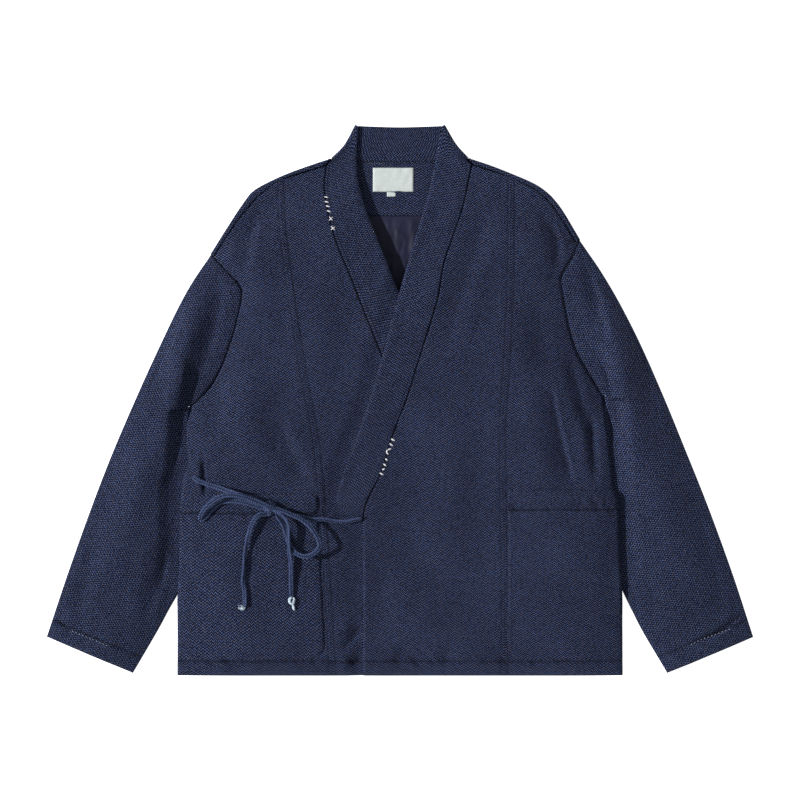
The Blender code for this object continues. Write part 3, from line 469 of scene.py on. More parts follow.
def pocket_gap(side, x, y):
    """Space between a pocket and the front under it."""
    pocket = POCKET[side]
    up = (y - pocket["bottom"]) / (pocket["top"] - pocket["bottom"])
    inner = mix(pocket["bottom_out"], pocket["top_out"], up)
    outer = np.abs(body_edge(side, y))
    part = np.clip((np.abs(x) - inner) / (outer - inner), 0, 1)
    return POCKET_LIFT + POCKET_OPEN * np.sin(math.pi * part) * ease(up)


def rest_height(x, y):
    """Height of the uppermost cloth at one place, which a tie rests on."""
    height = float(front_height(x, y))
    for side, pocket in POCKET.items():
        if pocket["bottom"] < y < pocket["top"] + 4 and x * side > pocket["bottom_out"] - 4:
            height += float(pocket_gap(side, x, y)) + CLOTH
    return height


# Distances from a seam at which a cloth mesh has its first columns
EDGE_STEPS = np.array((0.0, 0.9, 2.0, 3.2, 4.2, 5.3, 7.5, 11.0))
CELL = 2.4
STITCH_OUT = 4.2

STAGES = ("hem", "body", "armhole", "shoulder")
HEM_LEVELS = (-366.0, -365.2, -364.0, -362.0, -359.0, -355.5, -352.0, -349.5, -348.0, -347.2,
              -346.5, -345.8, -345.0, -343.5, -341.0, -338.0)


def fine_rows():
    """Rows of a front piece, as a stage of the way up and a part of that stage."""
    span = BAND_END_Y - HEM_Y
    rows = [("hem", (level - HEM_Y) / span) for level in HEM_LEVELS]
    first = rows[-1][1]
    count = 46
    rows += [("hem", mix(first, 1.0, k / count)) for k in range(1, count)]
    for stage, count in (("body", 40), ("armhole", 54), ("shoulder", 26)):
        rows += [(stage, k / count) for k in range(count)]
    return rows + [("shoulder", part) for part in (0.975, 0.985, 0.992, 0.997, 1.0)]


FRONT_ROWS = fine_rows()
UPPER_SEAM_Y = 235.0
UPPER_PRINCESS_Y = 225.0
NARROW_END = 6.0


def stage_y(stage, part, levels):
    """Level of a row, from the levels at which the stages end."""
    start = STAGES.index(stage)
    return mix(levels[start], levels[start + 1], part)


def side_point(side, stage, part):
    """Point of a front's outer edge: side seam, armhole seam, shoulder seam."""
    if stage == "shoulder":
        seam = SHOULDER_SEAM[side]
        out = mix(seam["out"][-1], PRINCESS[side]["out"][-1] + NARROW_END, part)
        return side * out, float(read(seam, "y", out))
    y = stage_y(stage, part, (HEM_Y, BAND_END_Y, armpit_y(side), armhole_top_y(side)))
    chart = ARMHOLE if stage == "armhole" else SIDE_SEAM
    return side * float(read(chart[side], "out", y)), y


def princess_point(side, stage, part):
    """Point of the long seam down a front."""
    seam = PRINCESS[side]
    y = stage_y(stage, part, (HEM_Y, BAND_END_Y, armpit_y(side), UPPER_PRINCESS_Y, seam["y"][-1]))
    return side * float(read(seam, "out", y)), y


def band_seam_point(side, stage, part):
    """Point of a front's inner edge: its free edge, then the seam to the collar band."""
    band = BAND[side]
    levels = (HEM_Y, BAND_END_Y, armpit_y(side), UPPER_SEAM_Y, band["seam_y"][-1])
    y = stage_y(stage, part, levels)
    return float(read(band, "seam_x", y)), y


def spread(width, widest, step=CELL):
    """Distances of a row's columns from its start, closer together near both ends."""
    close = EDGE_STEPS * min(1.0, width / (3 * EDGE_STEPS[-1]))
    count = max(2, round((widest - 2 * EDGE_STEPS[-1]) / step))
    middle = np.linspace(close[-1], width - close[-1], count + 1)[1:-1]
    return np.concatenate((close, middle, width - close[::-1]))


def cloth_mesh(name, places, weave, dark, wall, finish, closed=False, backwards=False):
    """Make a thin shell from rows of places in millimetres.

    weave gives each place its millimetres across and along the cloth, dark how much painted
    shade of seams, folds and hems darkens the colour there. A closed piece's last column is its first
    one.
    """
    rows, columns = places.shape[:2]
    bm = bmesh.new()
    bm.loops.layers.uv.new("weave")
    bmesh.ops.create_grid(bm, x_segments=columns - 1, y_segments=rows - 1, size=0.5)
    mesh = bpy.data.meshes.new(name)
    bm.to_mesh(mesh)
    bm.free()
    grid = np.empty(len(mesh.vertices) * 3)
    mesh.vertices.foreach_get("co", grid)
    grid = grid.reshape(-1, 3)
    column = np.rint((grid[:, 0] + 0.5) * (columns - 1)).astype(int)
    row = np.rint((grid[:, 1] + 0.5) * (rows - 1)).astype(int)
    mesh.vertices.foreach_set("co", (places[row, column] * MM).ravel())
    corner = np.empty(len(mesh.loops), int)
    mesh.loops.foreach_get("vertex_index", corner)
    flat = weave[row, column] * MM
    mesh.uv_layers["weave"].data.foreach_set("uv", flat[corner].ravel())
    # Painted shade, which the material multiplies into the cloth's colour
    shade = mesh.attributes.new("shade", "FLOAT", "POINT")
    shade.data.foreach_set("value", np.clip(dark[row, column], 0, 1))
    bm = bmesh.new()
    bm.from_mesh(mesh)
    if closed:
        bmesh.ops.remove_doubles(bm, verts=bm.verts, dist=1e-6)
        bmesh.ops.recalc_face_normals(bm, faces=bm.faces)
    elif backwards:
        bmesh.ops.reverse_faces(bm, faces=bm.faces)
    bm.to_mesh(mesh)
    bm.free()
    mesh.shade_smooth()
    made = bpy.data.objects.new(name, mesh)
    bpy.context.scene.collection.objects.link(made)
    mesh.materials.append(finish)
    if wall:
        shell = made.modifiers.new("wall", "SOLIDIFY")
        shell.thickness = wall * MM
        shell.offset = -1.0
        shell.use_quality_normals = True
    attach(made, "root")
    return made


def grain(x, y, degrees=0.0, pull=1.0):
    """Millimetres across and along the cloth, whose grain is turned from upright.

    pull is how far the padding stretches the rows of the weave apart.
    """
    turn = math.radians(degrees)
    return np.stack((x * math.cos(turn) + y * math.sin(turn),
                     (y * math.cos(turn) - x * math.sin(turn)) / pull), axis=-1)


def edge_form(kind, distance, along, seed):
    """Height and darkness that a seam or an edge gives the cloth beside it: partly the dark line of the
    join, partly painted shade in its grooves.
    """
    swell = waviness(along, 0 * along, 26, seed)
    if kind == "topstitched":
        groove = bell(distance - STITCH_OUT, 1.0)
        height = 0.35 * bell(distance - 1.4, 1.6) - (0.6 + 0.2 * swell) * groove
        height += 0.4 * swell * bell(distance - 6, 6)
        return height, (0.42 + 0.1 * swell) * groove + 0.2 * bell(distance, 0.7)
    if kind == "seam":
        groove = bell(distance, 1.3)
        height = -1.4 * groove + 0.3 * bell(distance - 2.6, 1.2) + 0.45 * swell * bell(distance - 4, 5)
        return height, 0.9 * bell(distance, 0.75)
    if kind == "stitched":
        groove = bell(distance - STITCH_OUT - 1.2, 1.0)
        height = -0.9 * bell(distance, 1.4) - 0.35 * groove + 0.4 * swell * bell(distance - 5, 6)
        return height, 0.35 * bell(distance, 0.9) + 0.2 * groove
    return -2.1 * bell(distance, 1.9) + 0.3 * swell * bell(distance - 5, 6), 0.0 * distance


def hem_form(x, y):
    """Height and painted shade of the turned hem: shade in its stitched groove and in the hollows of its
    slanting puckers.
    """
    off = y - HEM_STITCH_Y
    groove = bell(off, 1.2)
    lean = waviness(x + 0.75 * off, 0 * x, 13, 11) + 0.6 * waviness(x + 0.9 * off, 0 * x, 7, 12)
    height = -1.5 * groove + 0.9 * lean * bell(off - 1, 11) * (1 - 0.5 * groove)
    height = height + 0.5 * ease(-off / 4) - 2.4 * bell(y - HEM_Y, 2.4)
    shade = 0.6 * groove * (0.75 + 0.25 * waviness(x, 0 * x, 9, 13))
    return height, shade + 0.22 * np.maximum(0.0, -lean) * bell(off, 7)


def front_sheet(side, name, first, last, kinds, finish, turn, seed):
    """Make one front piece between two of its seams."""
    ends = [(Vector(first(side, *row)), Vector(last(side, *row))) for row in FRONT_ROWS]
    widest = max((b - a).length for a, b in ends)
    lines = []
    for a, b in ends:
        gone = spread((b - a).length, widest)
        share = gone / gone[-1]
        lines.append(np.stack((mix(a.x, b.x, share), mix(a.y, b.y, share), gone,
                               gone[-1] - gone), axis=-1))
    x, y, from_first, from_last = np.moveaxis(np.array(lines), -1, 0)
    height = piece_height(side, x, y)
    # Painted shade of the folds, seams, edges and hem, which darkens the cloth's colour
    dark = folds_at(FOLDS, x, y)[1]
    for kind, distance, number in zip(kinds, (from_first, from_last), (1, 2)):
        if kind == "band":
            raised, shadow = edge_form("seam", distance, y, seed + number)
            free, bare = edge_form("edge", distance, y, seed + number)
            below = y < BAND_END_Y
            raised, shadow = np.where(below, free, raised), np.where(below, bare, shadow)
        else:
            raised, shadow = edge_form(kind, distance, y, seed + number)
        height, dark = height + raised, dark + shadow
    raised, shadow = hem_form(x, y)
    height, dark = height + raised, dark + shadow
    return cloth_mesh(name, np.stack((x, y, height), axis=-1), grain(x, y, turn), dark, CLOTH,
                      finish, backwards=ends[0][1].x < ends[0][0].x)


def sleeve_edge(side, part, word):
    """Point of a sleeve's outer or inner edge, and the way from it into the sleeve."""
    chart = SLEEVE[side]
    spots = [Vector((side * float(read(chart, word + "_out", at)),
                     float(read(chart, word + "_y", at))))
             for at in (part, max(0.0, part - 0.01), min(1.0, part + 0.01))]
    along = (spots[2] - spots[1]).normalized()
    turn = side if word == "outer" else -side
    return spots[0], Vector((along.y, -along.x)) * turn


KINK_REACH = 0.3
KINK_LEAST = 0.03
KINK_END = 0.88
PUSH = 5.0
HEAD_REACH = 0.16
SLEEVE_COLUMNS = 58
FOLD_TURNS = (0.0, 0.08, 0.28, 0.6, 1.0)
UNDER_COLUMNS = 14


def sleeve_sheet(side, name, finish):
    """Make a sleeve: a flattened tube with an open cuff and armhole."""
    seam = np.array([side_point(side, "armhole", 1 - k / 60) for k in range(61)])
    gone = np.concatenate(([0.0], np.cumsum(np.hypot(*np.diff(seam, axis=0).T))))
    gone /= gone[-1]
    away = np.array((side * -1.2, -0.1))
    chart = SLEEVE[side]
    head_way = Vector(seam[1] - seam[0]).normalized()
    rows = np.concatenate((np.linspace(0, 0.05, 10), np.linspace(0.058, 0.94, 130),
                           (0.946, 0.95, 0.953, 0.955, CUFF_STITCH_PART, 0.959, 0.962, 0.967,
                            0.975, 0.984, 0.991, 0.996, 1.0)))
    shares = np.linspace(0, 1, SLEEVE_COLUMNS + 1)[1:-1]
    under = np.linspace(0, 1, UNDER_COLUMNS + 1)[1:-1][::-1]
    places, dark = [], []

    def seam_at(share):
        return np.stack((np.interp(share, gone, seam[:, 0]), np.interp(share, gone, seam[:, 1])), -1)

    length = math.dist((chart["outer_out"][0], chart["outer_y"][0]),
                       (chart["outer_out"][-1], chart["outer_y"][-1]))
    first = None
    for part in rows:
        here, way = sleeve_edge(side, part, "outer")
        way = head_way.lerp(way, float(ease(part / HEAD_REACH))).normalized()
        here = np.array(here) + away * max(0.0, 1 - part / HEAD_REACH)
        way = np.array(way)
        there, back_way = (np.array(item) for item in sleeve_edge(side, part, "inner"))
        start, end = here + way * FOLD_RADIUS, there + back_way * FOLD_RADIUS
        first = (start, end) if first is None else first

        def across(share):
            share = share[:, None]
            plan = mix(start, end, share)
            shift = seam_at(share[:, 0]) + away - mix(first[0], first[1], share)
            reach = KINK_LEAST + KINK_REACH * np.maximum(0.0, KINK_END - share)
            plan = plan + shift * np.maximum(0.0, 1 - part / reach) ** 2
            push = PUSH * share ** 4 * ease(part / 0.03) * (1 - ease((part - 0.2) / 0.2))
            return plan + push * np.array((side, 0.0))

        def top_of(share, plan):
            top = mix(2 * FOLD_RADIUS, float(read(chart, "height", part)),
                      1 - np.abs(2 * share - 1) ** 2.4)
            head = read(ARMHOLE[side], "height", seam_at(share)[:, 1])
            top = mix(head, top, ease(part / HEAD_REACH))
            low = (plan[:, 1] > TUCK["y"][0]) & (plan[:, 1] < armpit_y(side) - 4)
            clear = (np.abs(plan[:, 0]) - np.abs(body_edge(side, plan[:, 1])) - TUCK_MARGIN)
            flat = mix(2 * FOLD_RADIUS, top, ease(clear / TUCK_RAMP))
            top = np.where(low, flat, top)
            room = ease((top - 2 * FOLD_RADIUS) / 4) * ease(part / 0.05) * ease(share * 9)
            relief = (waviness(plan[:, 0], plan[:, 1], 80, 21) * 0.85
                      + waviness(plan[:, 0], plan[:, 1], 30, 22) * 0.35
                      - folds_at(SLEEVE_FOLDS[side], plan[:, 0], plan[:, 1])[0])
            top = top + relief * room
            off = (part - CUFF_STITCH_PART) * length
            lean = waviness(share * 150 + 0.8 * off, 0 * share, 12, 31)
            top = top - 1.3 * bell(off, 1.5) + 0.8 * lean * bell(off, 11)
            top = top - 1.8 * bell((1 - part) * length, 2.2)
            top = top - 2.6 * bell(part * length, 2.4)
            return np.maximum(top, 1.6 * FOLD_RADIUS)

        plans = [np.array([here + way * turn * FOLD_RADIUS for turn in FOLD_TURNS]), across(shares),
                 np.array([there + back_way * turn * FOLD_RADIUS for turn in FOLD_TURNS[::-1]])]
        plan = np.concatenate(plans)
        share = np.concatenate((np.zeros(5), shares, np.ones(5)))
        turns = np.concatenate((FOLD_TURNS, np.ones(len(shares)), FOLD_TURNS[::-1]))
        swell = np.sqrt(1 - (1 - turns) ** 2)
        z = mix(FOLD_RADIUS, top_of(share, plan), swell)
        low_plan = np.concatenate((plans[2][::-1][1:], across(under), plans[0][::-1]))
        low_turns = np.concatenate((FOLD_TURNS[1:], np.ones(len(under)), FOLD_TURNS[::-1]))
        low_z = mix(FOLD_RADIUS, 0.0, np.sqrt(1 - (1 - low_turns) ** 2))
        ring = np.concatenate((np.column_stack((plan, z)), np.column_stack((low_plan, low_z))))
        places.append(ring)
        off = (part - CUFF_STITCH_PART) * length
        # Painted shade: in the bottoms of the folds on the sleeve's top, along the cuff's stitched
        # groove and at the armhole seam
        _, shadow = folds_at(SLEEVE_FOLDS[side], ring[:, 0], ring[:, 1])
        shadow = shadow * (ring[:, 2] > 2 * FOLD_RADIUS)
        dark.append(shadow + 0.5 * bell(off, 1.2) + 0.85 * bell(part * length, 1.4))
    places = np.array(places)
    lean = {LEFT: -28.0, RIGHT: 28.0}[side]
    cut = grain(places[..., 0], places[..., 1], lean)
    return cloth_mesh(name, places, cut, np.array(dark), CLOTH, finish, closed=True)


def shoulder_frame(side, part):
    """Outline point, way inward and seam point at a part of the way from armhole to neck."""
    outline, seam = SHOULDER[side], SHOULDER_SEAM[side]
    out = mix(outline["out"][-1], outline["out"][0], part)
    seam_out = mix(seam["out"][-1] - 0.3, seam["out"][0] + 0.3, part)
    point = Vector((side * out, float(read(outline, "y", out))))
    target = Vector((side * seam_out, float(read(seam, "y", seam_out))))
    inward = (target - point).normalized()
    return point, inward, target - inward * 0.2


BACK_SHOULDER_COLUMNS = 24
BACK_NECK_COLUMNS = 22
BACK_COLUMNS = 2 * BACK_SHOULDER_COLUMNS + BACK_NECK_COLUMNS
BACK_TOP_ROWS = 10
# How far the back runs on under the sleeves and the collar band, past its seams
BACK_ALLOWANCE = 4.0
NECK_ALLOWANCE = 3.0
ALLOWANCE_LIFT = 0.6


def back_sheet(name, finish):
    """Make the back, which lies face down and wraps forward over both shoulders."""
    rows = [(stage, part) for stage, part in FRONT_ROWS if stage != "shoulder"][::2]
    places = []
    columns = np.arange(BACK_COLUMNS + 1)
    share = columns / BACK_COLUMNS
    tops = []
    for i in columns:
        if i <= BACK_SHOULDER_COLUMNS:
            tops.append(shoulder_frame(LEFT, i / BACK_SHOULDER_COLUMNS))
        elif i >= BACK_COLUMNS - BACK_SHOULDER_COLUMNS:
            tops.append(shoulder_frame(RIGHT, (BACK_COLUMNS - i) / BACK_SHOULDER_COLUMNS))
        else:
            tops.append(None)
    low, high = BACK_SHOULDER_COLUMNS, BACK_COLUMNS - BACK_SHOULDER_COLUMNS
    necks = [tops[k][0] + tops[k][1] * FOLD_RADIUS for k in (low, high)]
    starts = []
    for i, top in enumerate(tops):
        if top is None:
            part = (i - low) / BACK_NECK_COLUMNS
            starts.append((mix(necks[0].x, necks[1].x, part), BACK_NECK_Y - 0.2))
        else:
            starts.append(tuple(top[0] + top[1] * FOLD_RADIUS))
    starts = np.array(starts)

    def lift(plan):
        high_up = np.zeros(len(plan))
        for side in SIDES:
            reach = (np.abs(body_edge(side, plan[:, 1]) - plan[:, 0]) - TUCK_FLAT)
            raised = tuck_lift(side, plan[:, 1]) * (1 - ease(reach / (TUCK_REACH - TUCK_FLAT)))
            high_up = np.maximum(high_up, raised)
        return np.where(plan[:, 1] < armpit_y(RIGHT), high_up, 0.0)

    for stage, part in rows:
        left, right = (np.array(side_point(side, stage, part)) for side in SIDES)
        plan = mix(left, right, share[:, None])
        z = lift(plan)
        for side, column in ((LEFT, 0), (RIGHT, -1)):
            y = plan[column, 1]
            under = ease((y - armpit_y(side) + 80) / 40) * ease((armhole_top_y(side) - y) / 30)
            plan[column, 0] += side * BACK_ALLOWANCE * under
            z[column] += ALLOWANCE_LIFT * under
        places.append(np.column_stack((plan, z)))
    last = places[-1][:, :2]
    for k in range(1, BACK_TOP_ROWS + 1):
        plan = mix(last, starts, k / BACK_TOP_ROWS)
        places.append(np.column_stack((plan, np.zeros(len(plan)))))
    neck = ease((columns - low + 1.5) / 1.5) * ease((high + 1.5 - columns) / 1.5)
    allowance = np.column_stack((0 * neck, NECK_ALLOWANCE * neck))
    places.append(np.column_stack((starts + allowance, ALLOWANCE_LIFT * neck)))
    made = [cloth_mesh(name, np.array(places), grain(*np.moveaxis(np.array(places)[..., :2], -1, 0)),
                       np.zeros(np.array(places).shape[:2]), CLOTH, finish, backwards=True)]
    for side in SIDES:
        strip = []
        for k in range(BACK_SHOULDER_COLUMNS + 1):
            point, inward, target = shoulder_frame(side, k / BACK_SHOULDER_COLUMNS)
            line = []
            for angle in np.radians(np.linspace(-90, 90, 9)):
                plan = point + inward * (FOLD_RADIUS - FOLD_RADIUS * math.cos(angle))
                line.append((*plan, FOLD_RADIUS + FOLD_RADIUS * math.sin(angle)))
            crest = line[-1]
            edge = max(2 * FOLD_RADIUS, float(front_height(*target)))
            for part, drop in ((0.4, 0.0), (0.75, 0.25), (1.0, 1.3)):
                line.append((*(Vector(crest[:2]).lerp(target, part)), mix(crest[2], edge, part) - drop))
            strip.append(line)
        strip = np.array(strip)
        # Painted shade along the crease where the turned shoulder meets the front
        dark = np.zeros(strip.shape[:2])
        dark[:, -1] = 0.8
        made.append(cloth_mesh(f"shoulder_turn_{WORD[side]}", strip,
                               grain(strip[..., 0], strip[..., 1], side * -30.0), dark, CLOTH,
                               finish, backwards=side == RIGHT))
    return made


# Length of the ripples along the band's lower free edge
RIPPLE = 19.0


def collar_sheet(name, finish):
    """Make the collar band: one doubled strip round the neck and down both fronts."""
    fronts = [row for row in FRONT_ROWS if row[0] != "hem"]
    angles = np.radians(np.linspace(90, -90, 13))
    gone = np.concatenate((np.array((0.0, 0.9, 2.0, 3.2, 4.2, 5.3, 7.5)), np.linspace(10, 43, 11),
                           (46.0, 48.0, 49.2, 50.0))) / 50.0
    way = [(LEFT, "front", item) for item in fronts] + [(LEFT, "fold", a) for a in angles]
    way += [(None, "back", k / 44) for k in range(1, 44)]
    way += [(RIGHT, "fold", a) for a in angles[::-1]] + [(RIGHT, "front", item) for item in fronts[::-1]]

    def fold_frame(side):
        chart = NECK_FOLD[side]
        points = np.stack((read(chart, "x", gone), read(chart, "y", gone)), axis=-1)
        along = points[-1] - points[0]
        along = along / math.hypot(*along)
        return points, np.array((-along[1] * side, along[0] * side))

    places = []
    for side, kind, item in way:
        if kind == "front":
            _, y = band_seam_point(side, *item)
            band = BAND[side]
            seam = np.array((float(read(band, "seam_x", y)), y))
            free = np.array((float(read(band, "free_x", y)), float(read(band, "free_y", y))))
            toward = (free - seam) / math.dist(free, seam)
            plan = mix(seam + toward * 0.2, free, gone[:, None])
            z = np.maximum(piece_height(side, plan[:, 0], plan[:, 1]) + BAND_PROUD,
                           2 * NECK_FOLD_RADIUS)
        elif kind == "fold":
            points, inward = fold_frame(side)
            plan = points + inward * (NECK_FOLD_RADIUS - NECK_FOLD_RADIUS * math.cos(item))
            z = np.full(len(gone), NECK_FOLD_RADIUS + NECK_FOLD_RADIUS * math.sin(item))
        else:
            ends = []
            for end in SIDES:
                points, inward = fold_frame(end)
                ends.append(points + inward * NECK_FOLD_RADIUS)
            plan = mix(ends[0], ends[1], item)
            arch = math.sin(math.pi * item)
            top = mix(BACK_NECK_Y + 0.2, NECK_FOLD[LEFT]["y"][-1], gone)
            plan[:, 1] = mix(plan[:, 1], top, arch ** 0.5) - COLLAR_DIP * gone * arch
            z = np.full(len(gone), 0.0)
        places.append(np.column_stack((plan, z)))
    places = np.array(places)
    steps = np.hypot(*np.moveaxis(np.diff(places[:, :, :2], axis=0), -1, 0)).mean(axis=1)
    along = np.concatenate(([0.0], np.cumsum(steps)))
    run = np.broadcast_to(along[:, None], places.shape[:2])
    across = np.broadcast_to(gone * 50, places.shape[:2])
    raised, shadow = edge_form("seam", across, run, 41)
    groove = bell(across - 4.6, 1.0)
    free, _ = edge_form("edge", 50 - across, run, 42)
    on_top = np.array([kind != "back" for _, kind, _ in way])[:, None]
    swell = 0.45 * waviness(run, across, 28, 43) * bell(across - 25, 26)
    at_y = places[..., 1]
    ripple = np.sin(at_y * math.tau / RIPPLE + 0.6 * waviness(at_y, 0 * at_y, 40, 44))
    ripple = ripple * bell(50 - across, 11) * bell(at_y + 104, 38) * (places[..., 0] < -20)
    swell = swell + 1.1 * ripple
    lift = np.where(on_top, raised - 0.4 * groove + 0.8 * free + swell, 0.0)
    upright = np.array([1.0 if kind == "front" else 0.35 for _, kind, _ in way])[:, None]
    places[..., 2] += lift * upright
    # Painted shade: by the seam, in the stitched groove and in the hollows of the free edge's ripples
    dark = (shadow + 0.3 * groove + 0.35 * np.maximum(0.0, -ripple)) * on_top
    weave = np.stack((across, run), axis=-1)
    return cloth_mesh(name, places, weave, dark, 3.8, finish)


def pocket_sheet(side, name, finish):
    """Make a patch pocket, sewn down on three sides, with a doubled hem at its mouth."""
    size = POCKET[side]
    hem = size["top"] - POCKET_HEM
    levels = np.concatenate((size["bottom"] + np.array((0, 0.8, 1.8, 3, 4.4, 6.5)),
                             np.linspace(size["bottom"] + 9.5, hem - 6, 44),
                             hem + np.array((-3.4, -1.8, -0.9, 0, 0.9, 1.8, 3.4, 6, 9, 12, 15, 18)),
                             size["top"] - np.array((4.5, 2.8, 1.6, 0.7, 0))))
    lines = []
    for y in levels:
        inner = mix(size["bottom_out"], size["top_out"],
                    (y - size["bottom"]) / (size["top"] - size["bottom"]))
        corner = max(0.0, 1 - (y - size["bottom"]) / POCKET_CORNER)
        inner += POCKET_CORNER * (1 - math.sqrt(max(0.0, 1 - corner * corner)))
        outer = side * float(body_edge(side, y)) - 0.5
        gone = spread(outer - inner, size["bottom_out"] + 100, 2.8)
        lines.append(np.stack((side * (inner + gone), np.full(len(gone), y), gone,
                               gone[-1] - gone), axis=-1))
    x, y, from_inner, from_outer = np.moveaxis(np.array(lines), -1, 0)
    height = front_height(x, y) + pocket_gap(side, x, y) + CLOTH
    raised, shadow = edge_form("stitched", from_inner, y, 51 + side)
    edge, _ = edge_form("edge", from_outer, y, 53 + side)
    off = y - hem
    groove = bell(off, 1.2)
    lean = (waviness(x + 0.5 * off, 0 * x, 12, 55 + side)
            + 0.6 * waviness(x - 0.3 * off, 0 * x, 6, 57 + side))
    height = height + raised + edge - 1.3 * groove
    height = height + 0.8 * lean * bell(off - 6, 14) * (1 - 0.5 * groove)
    height = height + 0.6 * ease(off / 5) - 2.0 * bell(size["top"] - y, 1.9)
    height = height - 1.6 * bell(y - size["bottom"], 2.0) - 1.5 * bell(from_inner, 2.6)
    # Painted shade: by the stitched inner edge, in the hem's groove, in the hollows of its puckers and
    # in the folds
    dark = shadow + 0.65 * groove + 0.25 * np.maximum(0.0, -lean) * bell(off - 4, 8)
    dark = dark + folds_at(FOLDS, x, y)[1]
    pull = {LEFT: 1.16, RIGHT: 0.92}[side]
    return cloth_mesh(name, np.stack((x, y, height), axis=-1), grain(x, y, 0.6 * side, pull), dark,
                      CLOTH, finish, backwards=side == LEFT)


def facing_sheet(name, finish):
    """Make the facing inside the back neck."""
    rows = np.concatenate((FACING_END_Y + 0.3 + np.array((0, 0.8, 1.8, 3.2, 5)),
                           np.linspace(FACING_END_Y + 9, BACK_NECK_Y - 7, 16),
                           BACK_NECK_Y + 0.6 - np.array((5.6, 4.4, 3.4, 2.4, 1.6, 1.0, 0.0))))
    share = np.linspace(-1, 1, 40)
    y = np.broadcast_to(rows[:, None], (len(rows), len(share)))
    x = share * mix(70, 76, (y - rows[0]) / (rows[-1] - rows[0]))
    z = 4.3 + 0.35 * waviness(x, y, 40, 61) - 0.9 * bell(y - rows[0], 1.2)
    z = z - 0.5 * bell(y - BACK_NECK_Y + 2.8, 0.9) + 0.3 * waviness(x, 0 * x, 18, 62) * bell(
        y - rows[0], 8)
    # Painted shade along the facing's top edge under the collar and in the seam groove below it
    dark = 0.85 * bell(y - BACK_NECK_Y - 0.4, 1.0) + 0.3 * bell(y - BACK_NECK_Y + 2.8, 0.8)
    return cloth_mesh(name, np.stack((x, y, np.maximum(z, 3.3)), axis=-1), grain(x, y), dark,
                      1.0, finish)


def lining_sheet(name, finish):
    """Make the satin lining as far as the neck opening shows it, with its soft wrinkles."""
    rows = np.linspace(LINING_END_Y, FACING_END_Y, 80)
    share = np.linspace(-1, 1, 70)
    y = np.broadcast_to(rows[:, None], (len(rows), len(share)))
    x = share * mix(34, 62, (y - LINING_END_Y) / (FACING_END_Y - LINING_END_Y))
    folds = waviness(x * 1.9 + y * 0.25, y * 0.3, 30, 63) + 0.6 * waviness(x * 2, y * 0.8, 17, 64)
    z = 3.3 + 0.5 * (1 + np.clip(folds, -1, 2)) * ease((FACING_END_Y - y) / 14)
    z = z + 0.5 * bell(y - 196 - 0.05 * x, 5) - 0.5 * bell(y - 188 - 0.05 * x, 5)
    return cloth_mesh(name, np.stack((x, y, z), axis=-1), grain(x, y), 0 * x, 0.5, finish)


def label_sheet(name, size, finish, seed):
    """Make a woven label with its ends folded under."""
    share_x, share_y = np.linspace(-0.5, 0.5, 29), np.linspace(-0.5, 0.5, 21)
    x, y = np.meshgrid(share_x * size["width"], share_y * size["height"])
    edge = np.minimum(size["width"] / 2 - np.abs(x), size["height"] / 2 - np.abs(y))
    z = size["base"] + 0.75 + 0.12 * waviness(x, y, 14, seed) - 0.55 * bell(edge, 0.7)
    places = np.stack((size["x"] + x, size["y"] + y, z), axis=-1)
    return cloth_mesh(name, places, grain(x, y), 0 * x, 0.7, finish)


def smooth_path(rows, spacing):
    """Evenly spaced points of a smooth curve through a route's rows."""
    points = [Vector((x, y, rest_height(x, y) + TIE_RADIUS + TIE_CLEAR + raised))
              for x, y, raised in rows]
    ends = [points[0] * 2 - points[1]] + points + [points[-1] * 2 - points[-2]]
    fine = []
    for a, b, c, d in zip(ends, ends[1:], ends[2:], ends[3:]):
        for k in range(24):
            t = k / 24
            fine.append(0.5 * (2 * b + (c - a) * t + (2 * a - 5 * b + 4 * c - d) * t * t
                               + (3 * b - a - 3 * c + d) * t ** 3))
    fine = np.array(fine + [points[-1]])
    gone = np.concatenate(([0.0], np.cumsum(np.linalg.norm(np.diff(fine, axis=0), axis=1))))
    at = np.linspace(0, gone[-1], max(4, round(gone[-1] / spacing)))
    even = np.stack([np.interp(at, gone, fine[:, k]) for k in range(3)], axis=-1)
    floor = np.array([rest_height(x, y) + TIE_RADIUS + 0.1 for x, y, _ in even])
    even[:, 2] = np.maximum(even[:, 2], floor)
    return even


